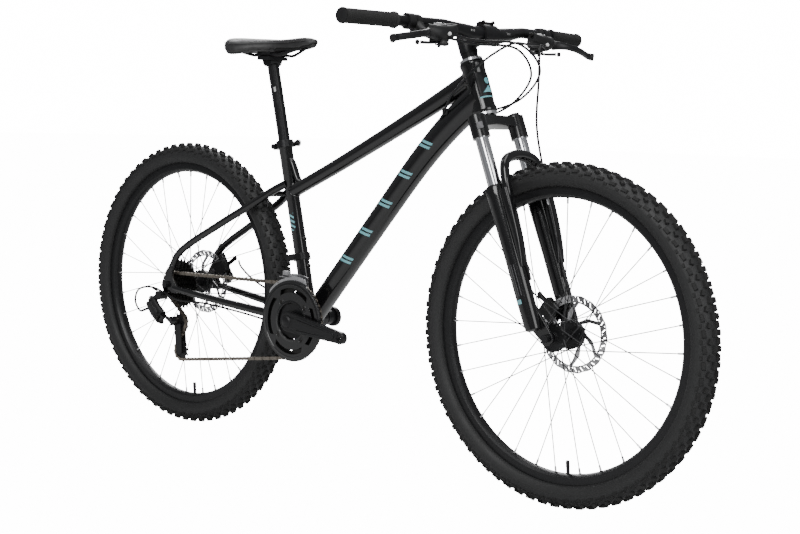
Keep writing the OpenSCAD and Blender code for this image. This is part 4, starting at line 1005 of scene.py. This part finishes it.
def build_finger_lever(s, node, mat, sink, eye, tip):
    """Moulded lever: a round eye on the shifter pin, a waisted arm and a dished pad for the finger."""
    pivot = control(s, SHIFT_AT[0], SHIFT_AT[1], SHIFT_AT[2] + sink)
    end = pivot + vec(tip[0], s * tip[1], 1.5)
    root = pivot + 1.5 * Z
    hub = lathe([(3.1, 0.3), (3.5, 0), (eye - 0.8, 0), (eye, 0.8), (eye, 2.2), (eye - 0.8, 3), (3.5, 3),
                 (3.1, 2.7)], pivot, Z, 32)
    arm = tube(curve([root.lerp(end, 0.12), root.lerp(end, 0.5) - 0.6 * Z, root.lerp(end, 0.9)], 8),
               lambda u: (5.0 - 1.4 * sin(pi * u), 2.6 + 0.8 * u), 20, (end - root).cross(Z), 2.6)
    reach = (end - root).normalized()
    wide = reach.cross(Z)
    pad = tube(curve([end + a * wide + b * reach for a, b in ((-8, 0), (-3, 1.2), (3, 1.2), (8, 0))], 8),
               lambda u: (2.4 + 2.0 * sin(pi * u), 3.0 + 2.2 * sin(pi * u)), 20, reach, 2.4)
    piece("moulded_" + node, [hub, arm, pad], mat, node, smooth=35)


def build_pod(s, word):
    """Shifter housing with its round gear window, the lever bracket and the cable adjusters."""
    centre = control(s, 24, 168, -12)

    def near(x, y, z):
        return centre + vec(x, s * y, z)
    dome = lathe([(0.1, 11), (11, 10), (18, 7.2), (23, 2.0), (24.5, -4), (24.5, -15), (21, -19), (0.1, -19)],
                 centre, Z, 40, False)
    snout = tube([near(2, -4, -2), near(8, -26, 4), near(10, -36, 6)],
                 lambda u: (12 - 5.5 * u, 11 - 5 * u), 20, Z, 2.4)
    arm = tube([bar_point(s * BRACKET_Y) + vec(8, 0, -6), control(s, 20, 206, -18), control(s, 36, 205, -22)],
               lambda u: (10 - 2 * u, 11 - 2.5 * u), 20, Z, 2.5)

    def girth(u):
        swell = sin(pi * (0.12 + 0.76 * u))
        return (7 + 9 * swell, 6 + 10 * swell)
    housing = tube(curve([near(2, 40, -2), near(9, 14, -8), near(9, -16, -6), near(10, -38, 2)], 8), girth,
                   28, Z, 2.4)
    ring = lathe([(11.3, -6), (15.2, -5), (15.2, 5), (11.3, 6)], bar_point(s * BRACKET_Y),
                 bar_point(s * (BRACKET_Y + 1)) - bar_point(s * (BRACKET_Y - 1)), 36)
    detail("pod_" + word, [dome, housing, snout, arm, ring], plastic_black, "control_pods")
    window = lathe([(0.1, 12.4), (6, 12.1), (8.6, 11.2), (8.6, 9.6), (0.1, 9.6)], centre, Z, 28, False)
    detail("window_" + word, window, gloss_plastic, "control_pods")
    barrels = [knob(near(9, -33, 5.5), near(11, -44, 8), 4.4, 0.7, 18),
               knob(control(s, 34, 196, -20), control(s, 42, 184, -17), 4.4, 0.7, 18)]
    detail("adjusters_" + word, barrels, dark_steel, "control_pods")
    heads = [centre + vec(12 * cos(a), 12 * sin(a), 8) for a in (0.6, 2.7, 4.6)]
    screws = [knob(head, head + 3.2 * Z, 1.9, 0.3, 12) for head in heads]
    detail("pod_screws_" + word, screws, silver, "control_pods")


# ---------- fork ----------

def build_fork():
    refine("fork_crown", gloss_plastic, 2.4, segments=3)
    refine("fork_stanchions", chrome, 0)
    refine("fork_spring", steel, 0)
    build_lowers()
    refine("preload_knob", plastic_black, 0.7)
    for s in (-1, 1):
        rings = lathe([(BORE_R, 321), (17.4, 321.4), (17.7, 322.6), (16.6, 323.9), (BORE_R, 324.3)],
                      steer(LEG_N, s * LEG_Y, 0), STEER_T, 40)
        detail("wiper_%s" % ("left" if s > 0 else "right"), rings, grip_rubber, "fork_lowers")
    square = plate([[(-6.5, -7), (6.5, -7), (6.5, 7), (-6.5, 7)]], 0, 0.8, ease=0.2)
    centre = steer(22 + 14, -65 - 14, 448)
    face = (STEER_N - Y).normalized()
    turn = Matrix((face.cross(STEER_T), face, STEER_T)).transposed()
    label = ([centre + turn @ p for p in square[0]], square[1])
    detail("crown_label", label, label_grey, "fork_crown")


def build_lowers():
    """Cast magnesium legs joined by their arch, with dropouts and the brake mount."""
    shapes = []
    add = shapes.append
    for s in (-1, 1):
        leg = steer(LEG_N, s * LEG_Y, 0)
        add(lathe([(0.1, 21), (11, 21), (16.5, 24), (17.5, 40), (18.2, 90), (18.6, 180), (20, 250),
                             (21, 300), (21, 318), (19.6, 321.5), (BORE_R, 322), (BORE_R, 142), (0.1, 142)],
                            leg, STEER_T, 56, False))
        flank = [steer(n, s * y, t)
                 for n, y, t in ((39.6, 64, 150), (45, 66, 205), (47, 67, 260), (47.4, 66, 310))]
        add(tube(curve(flank, 8), lambda u: (2.9 + 7.3 * sin(pi / 2 * u) ** 0.7, 11 + 2 * u), 28,
                           STEER_N, 3.2))
        web = [steer(40.6, s * 58, 120), steer(43.4, s * 62, 200), steer(46.2, s * 62, 290)]
        add(tube(curve(web, 6), lambda u: (3.0, 3.6 + 5.6 * u), 16, Y, 2.0))
        ends = circle(FRONT.x, FRONT.z, 14.5, 36)
        low, high = steer(8, 0, 30), steer(14, 0, 78)
        inner = steer(34, 0, 70)
        outline = [(low.x, low.z)] + [ends[k % 36] for k in range(24, 40)]
        outline += [(inner.x, inner.z), (high.x, high.z)]
        add(plate([outline], s * 53.6, 7.4, ease=1.2))
    arch = [(49, -66, 292), (52, -65, 326), (53, -58, 354), (53, -43, 371), (53, -20, 378), (53, 0, 380)]
    arch += [(n, -y, t) for n, y, t in reversed(arch[:-1])]
    add(tube(curve([steer(*q) for q in arch], 6), lambda u: (9.0, 9.0), 28, STEER_N, 2.6))
    rib = [(47, y * 0.93, t - 6) for n, y, t in arch]
    add(tube(curve([steer(*q) for q in rib], 6), lambda u: (3.5, 5.0), 16, STEER_N, 2.2))
    a = radians(121.5)

    def mount(x, z):
        q = steer(FORK_OFFSET + x * cos(a) - z * sin(a), 0, x * sin(a) + z * cos(a))
        return (q.x, q.z)
    web = ((52, -36), (66, -36), (84, -30), (84, 30), (66, 36), (52, 36))
    shapes += brake_mount(mount, ((-34, -21), (21, 34)), web, 51.8, 54.8)
    piece("lower_legs", shapes, lower_paint(), "fork_lowers", smooth=36)


# ---------- drivetrain ----------

PITCH = 12.7
CAGE_ANGLE = radians(5.87963)
GUIDE = vec(-531, 0, 258)
TENSION = GUIDE + 70 * vec(sin(CAGE_ANGLE), 0, -cos(CAGE_ANGLE))
CHAIN_Y = -57
LOOP = [(BB, 42, 1), (REAR, 14, 1), (GUIDE, 11, -1), (TENSION, 11, 1)]


def pitch_radius(teeth):
    return PITCH / (2 * sin(pi / teeth))


def run_angle(p, q):
    d = q[0] - p[0]
    bite = p[2] * pitch_radius(p[1]) - q[2] * pitch_radius(q[1])
    return atan2(d.z, d.x) + asin(bite / hypot(d.x, d.z))


def run_length(p, q):
    d = q[0] - p[0]
    bite = p[2] * pitch_radius(p[1]) - q[2] * pitch_radius(q[1])
    return sqrt(d.x ** 2 + d.z ** 2 - bite ** 2)


def chain_pins():
    """(x, z, stretch number) for each pin; even stretches wrap a wheel and odd ones run free."""
    stretches = []
    for i, wheel in enumerate(LOOP):
        before, after = LOOP[i - 1], LOOP[(i + 1) % 4]
        sense = wheel[2]
        a0 = run_angle(before, wheel) - sense * pi / 2
        a1 = run_angle(wheel, after) - sense * pi / 2
        wrap = ((a1 - a0) * sense) % (2 * pi)
        stretches.append(("wheel", wheel, a0, wrap, wrap * wheel[1] / (2 * pi)))
        stretches.append(("run", wheel, a1, run_angle(wheel, after), run_length(wheel, after) / PITCH))
    total = sum(s[4] for s in stretches)
    count = round(total)
    pins = []
    for k in range(count):
        s, i = k * total / count, 0
        while s > stretches[i][4]:
            s -= stretches[i][4]
            i += 1
        kind, wheel, a, b, links = stretches[i]
        r = pitch_radius(wheel[1])
        if kind == "wheel":
            angle = a + wheel[2] * b * s / links
            pins.append((wheel[0].x + r * cos(angle), wheel[0].z + r * sin(angle), i))
        else:
            x = wheel[0].x + r * cos(a) + s * PITCH * cos(b)
            z = wheel[0].z + r * sin(a) + s * PITCH * sin(b)
            pins.append((x, z, i))
    return pins


def link_plate(a, b, y, thick):
    """One chain plate: two round ends and a waist."""
    d = vec(b[0] - a[0], 0, b[1] - a[1])
    length = d.length
    d.normalize()
    up = vec(-d.z, 0, d.x)
    outline = []
    for k in range(7):
        t = pi / 2 + pi * k / 6
        outline.append((4.1 * cos(t), 4.1 * sin(t)))
    outline.append((length / 2, -3.1))
    for k in range(7):
        t = -pi / 2 + pi * k / 6
        outline.append((length + 4.1 * cos(t), 4.1 * sin(t)))
    outline.append((length / 2, 3.1))
    n = len(outline)
    base = vec(a[0], 0, a[1])
    points = [base + u * d + v * up + (y + e) * Y for e in (-thick / 2, thick / 2) for u, v in outline]
    faces = [list(range(n)), list(range(2 * n - 1, n - 1, -1))]
    faces += [[k, (k + 1) % n, n + (k + 1) % n, n + k] for k in range(n)]
    return points, faces


def build_chain():
    pins = chain_pins()
    parts = {"upper": [], "cage": [], "lower": []}
    for k, pin in enumerate(pins):
        nxt = pins[(k + 1) % len(pins)]
        where = "upper" if pin[2] <= 3 else "cage" if pin[2] <= 6 else "lower"
        outer = k % 2 == 0
        for side in (-1, 1):
            parts[where].append(link_plate(pin, nxt, CHAIN_Y + side * (3.75 if outer else 2.75), 0.9))
        at = vec(pin[0], 0, pin[1])
        parts[where].append(rod(at + (CHAIN_Y - 2.3) * Y, at + (CHAIN_Y + 2.3) * Y, 3.85, 12))
        parts[where].append(rod(at + (CHAIN_Y - 4.5) * Y, at + (CHAIN_Y + 4.5) * Y, 1.8, 10))
    piece("chain_upper", parts["upper"], chain_steel, "chain", smooth=30)
    caged = mesh_object("chain_cage", parts["cage"], 30)
    dress(caged, chain_steel, "mech_cage", ("chain",))
    lower = mesh_object("chain_lower", parts["lower"], 30)
    dress(lower, chain_steel, "frame", ("chain",))


CRANK_L, CRANK_DROP = 170.0, 6.0


def wedge(x0, r0, x1, r1, steps=14):
    """Outline round two discs, x0 and x1 along the crank arm."""
    lean = degrees(acos((r0 - r1) / (x1 - x0)))
    near = [(x0, r0, lean + (360 - 2 * lean) * k / steps) for k in range(steps + 1)]
    far = [(x1, r1, -lean + 2 * lean * k / steps) for k in range(steps + 1)]
    return [(x + r * cos(radians(a)), r * sin(radians(a))) for x, r, a in near + far]


def build_crank(s, word):
    """Forged arm that tapers from a broad root to the pedal eye; the right one carries the spider."""
    a = radians(-CRANK_DROP + (180 if s > 0 else 0))
    along, across = vec(cos(a), 0, sin(a)), vec(-sin(a), 0, cos(a))

    def placed(sheet, slope):
        points, faces = sheet
        return [BB + q.x * along + q.z * across + (q.y + s * slope * q.x / CRANK_L) * Y
                for q in points], faces
    eye = circle(CRANK_L, 0, 7.2, 28)
    shapes = [placed(plate([wedge(0, 23, CRANK_L, 13.2), eye], s * 73.6, 12.4, ease=2.4), 5.4),
              placed(plate([wedge(16, 12, 148, 5.5)], s * 80.4, 2.6, ease=1.0), 5.4)]
    add = shapes.append
    if s < 0:
        ridge = plate([wedge(34, 17, 146, 8), wedge(37, 12.5, 142, 5)], s * 80.2, 2.2, ease=0.9)
        add(placed(ridge, 5.4))
    end = BB + CRANK_L * along
    add(lathe([(7.2, 71.5), (12.6, 71.5), (13.6, 73), (13.6, 85), (12.4, 86.4), (7.2, 86.4)], end,
                        s * Y, 36))
    add(lathe([(9, 45), (16.5, 45), (16.5, 70), (9, 70)], BB, s * Y, 36))
    add(lathe([(0.1, 87), (6, 86.6), (11, 85), (13.6, 82), (14, 79.5), (0.1, 79.5)], BB, s * Y, 36,
                        False))
    if s < 0:
        add(placed(plate([circle(0, 0, 41, 48), circle(0, 0, 12, 32)], -59.7, 2.8, ease=0.6), 0))
        for k in range(4):
            b = radians(45 + 90 * k)
            arm = wedge(20, 17, 56, 9)
            turned = [(x * cos(b) - z * sin(b), x * sin(b) + z * cos(b)) for x, z in arm]
            add(placed(plate([turned], -59.7, 3.1, ease=0.8), 0))
    piece("crank_arm_" + word, shapes, alloy_black, "crank_" + word, smooth=30)


def build_front_cage():
    """Two curved plates each side of the chain, joined over its top."""
    def arc(r, a0, a1):
        turned = [polar(r, a0 + (a1 - a0) * k / 12) for k in range(13)]
        return [(BB.x + x, BB.z + z) for x, z in turned]
    outer = arc(91.5, 62, 150) + arc(100, 140, 96) + arc(104, 90, 68)
    inner = arc(91.5, 66, 140) + arc(101, 132, 104) + arc(108, 100, 70)
    shapes = [plate([outer], -60.7, 1.2, ease=0.3), plate([inner], -51.4, 1.2, ease=0.3)]
    shapes.append(box((BB.x - 34, -56, BB.z + 98), (26, 10.4, 1.4)))
    shapes.append(box((BB.x - 36, -47, BB.z + 106), (18, 9, 10)))
    piece("front_cage", shapes, brushed, "front_mech_cage", bevel=0.3)


def guard_bolt(k):
    """Offset from the crank axis to one of the four chainguard bolts."""
    a = radians(-CRANK_DROP + 45 + 90 * k)
    return vec(52 * cos(a), 0, 52 * sin(a))


def build_drivetrain():
    build_chain()
    build_crank(-1, "right")
    build_crank(1, "left")
    refine("crank_spindle", alloy_black, 0.3)
    refine("chainrings", dark_steel, 0)
    refine("chainguard", gloss_plastic, 0.8)
    lips = [lathe([(82, 66.2), (83, 67.1), (86.5, 67.2), (88, 66.2)], BB, -Y, 96),
            lathe([(42.5, 66.2), (43.3, 67.2), (46.8, 67.2), (48, 66.2)], BB, -Y, 72)]
    bolts = []
    for k in range(4):
        at = BB + guard_bolt(k)
        lips.append(lathe([(5.5, 66.2), (6.2, 67.0), (7.3, 67.0), (8, 66.2)], at, -Y, 32))
        bolts.append(knob(at - 62.6 * Y, at - 66.9 * Y, 3.9, 0.6, 20))
    detail("guard_lips", lips, gloss_plastic, "chainguard")
    detail("guard_bolts", bolts, dark_steel, "chainguard")
    refine("cassette", dark_steel, 0)
    refine("guide_pulley", plastic_black, 0)
    refine("tension_pulley", plastic_black, 0)
    refine("mech_hanger", alloy_black, 0.7)
    refine("mech_link", gloss_plastic, 1.0)
    link_in, link_out = vec(-612, -84, 303), vec(-558, -94, 267)

    def on_link(share, x, y, z):
        return link_in.lerp(link_out, share) + vec(x, y, z)
    body = tube([on_link(0.06, 0, 0, 0), on_link(0.5, 0, -3, 0), on_link(0.94, 0, 0, 0)],
                lambda u: (9.5, 18.5), 24, Y, 2.8)
    piece("mech_outer_plate", body, plastic_black, "mech_link", extra=True, bevel=0.5)
    pins = [knob(on_link(0.12, 0, -8, 9), on_link(0.12, 0, -11.4, 9), 3.4, 0.5, 18),
            knob(on_link(0.9, 0, -11, 0), on_link(0.9, 0, -14.4, 0), 3.4, 0.5, 18)]
    ribs = [rod(on_link(0.2, x, -8.5, z), on_link(0.84, x, -12, z), 2.2) for x, z in ((3.5, 8), (-3.5, -6))]
    detail("mech_pins", pins, dark_steel, "mech_link")
    detail("mech_ribs", ribs, gloss_plastic, "mech_link")
    refine("mech_knuckle", gloss_plastic, 0.7)
    refine("mech_cage", alloy_black, 0.25)
    refine("front_mech_clamp", alloy_black, 0.5)
    build_front_cage()
    refine("bottom_bracket", dark_steel, 0.4)


# ---------- the rest ----------

def build_wheels():
    for word, centre, left_y, right_y, rotor_y in (("front", FRONT, 24, -33, 38.7),
                                                   ("rear", REAR, 36, -21, 52.2)):
        tyre(word + "_tyre_rubber", word + "_tyre", centre)
        rim(word + "_rim_hoop", word + "_rim", centre)
        spokes(word + "_wires", word + "_spokes", centre, left_y, right_y)
        rotor(word + "_disc", word + "_rotor", centre, rotor_y)
        valve(word + "_valve", word + "_tyre", centre)
        for node, mat, bevel in (("_hub", alloy_black, 0.5), ("_axle", alloy_black, 0.4),
                                 ("_qr_lever", silver, 0.9), ("_caliper", plastic_black, 1.0),
                                 ("_brake_arm", dark_steel, 0.5)):
            refine(word + node, mat, bevel)


def build_seat():
    post = surface("post_black", (0.009, 0.009, 0.01), 0.32, 0.3, fleck=0.25, grain=900)
    mark = post.mul(post.between(post.along(BB, SEAT_T), 536, 547),
                    post.between(post.along(BB, SEAT_N), 3, 8))
    post.stain(post.mul(mark, post.below(post.along((0, 0, 0), Y), 0)), (0.5, 0.5, 0.5))
    refine("seatpost", post.mat, 0.5)
    refine("seat_collar", alloy_black, 0.6)
    refine("collar_lever", silver, 0.8)
    build_saddle()


# Glow of the backdrop as the camera sees it, and how far the floor runs
BACKDROP = 16.0
FLOOR_HALF = 40000


def glowing_floor():
    """White paper, lit from behind for the camera so that it meets the background without a horizon."""
    n = surface("pale_floor", (0.6, 0.6, 0.6), 0.8, fleck=0.01, scale=3)
    path = n.tree.nodes.new("ShaderNodeLightPath")
    glow = n.tree.nodes.new("ShaderNodeEmission")
    glow.inputs[1].default_value = BACKDROP
    pick = n.tree.nodes.new("ShaderNodeMixShader")
    n.link(n.mul(path.outputs["Is Camera Ray"], 0.94), pick.inputs[0])
    n.link(n.bsdf.outputs[0], pick.inputs[1])
    n.link(glow.outputs[0], pick.inputs[2])
    n.link(pick.outputs[0], n.tree.nodes["Material Output"].inputs[0])
    return n.mat


def build_stage():
    w = FLOOR_HALF
    floor = mesh_object("floor", ([(-w, -w, 0), (w, -w, 0), (w, w, 0), (-w, w, 0)], [[0, 1, 2, 3]]))
    floor.data.materials.append(glowing_floor())
    scene = bpy.context.scene
    world = bpy.data.worlds.new("studio")
    world.use_nodes = True
    tree = world.node_tree
    seen = tree.nodes["Background"]
    seen.inputs[0].default_value = (1, 1, 1, 1)
    seen.inputs[1].default_value = BACKDROP
    lit = tree.nodes.new("ShaderNodeBackground")
    lit.inputs[0].default_value = (0.95, 0.97, 1.0, 1)
    lit.inputs[1].default_value = 0.26
    path = tree.nodes.new("ShaderNodeLightPath")
    pick = tree.nodes.new("ShaderNodeMixShader")
    tree.links.new(path.outputs["Is Camera Ray"], pick.inputs[0])
    tree.links.new(lit.outputs[0], pick.inputs[1])
    tree.links.new(seen.outputs[0], pick.inputs[2])
    tree.links.new(pick.outputs[0], tree.nodes["World Output"].inputs[0])
    scene.world = world
    target = vec(100, 0, 500) * MM
    for name, at, size, power in (("key", (1.6, -3.6, 3.4), 2.6, 190), ("fill", (4.2, -0.6, 1.9), 2.2, 62),
                                  ("back", (-2.6, 2.8, 3.0), 2.6, 150), ("top", (0, 0, 4.6), 3.4, 105)):
        light = bpy.data.lights.new(name, "AREA")
        light.shape = "SQUARE"
        light.size = size
        light.energy = power
        obj = bpy.data.objects.new(name, light)
        obj.location = at
        obj.rotation_euler = (target - Vector(at)).to_track_quat("-Z", "Y").to_euler()
        scene.collection.objects.link(obj)


def build_camera():
    """The viewing angle of a three-quarter catalogue picture, 40.84 degrees round from the front."""
    azimuth, elevation, roll = radians(40.84), radians(5.64), radians(1.8)
    target = vec(128.8, 0, 449.3) * MM
    away = vec(sin(azimuth) * cos(elevation), -cos(azimuth) * cos(elevation),
                   sin(elevation))
    data = bpy.data.cameras.new("camera")
    data.sensor_width = 36
    data.lens = 66.2
    camera = bpy.data.objects.new("camera", data)
    spin = (-away).to_track_quat("-Z", "Y").to_matrix() @ Matrix.Rotation(roll, 3, "Z")
    camera.matrix_world = Matrix.Translation(target + 3.22 * away) @ spin.to_4x4()
    bpy.context.scene.collection.objects.link(camera)
    bpy.context.scene.camera = camera


build_frame()
build_badge()
refine("headset", silver, 0.4)
build_fork()
build_cockpit()
build_cables()
build_seat()
build_wheels()
build_drivetrain()
build_stage()
build_camera()
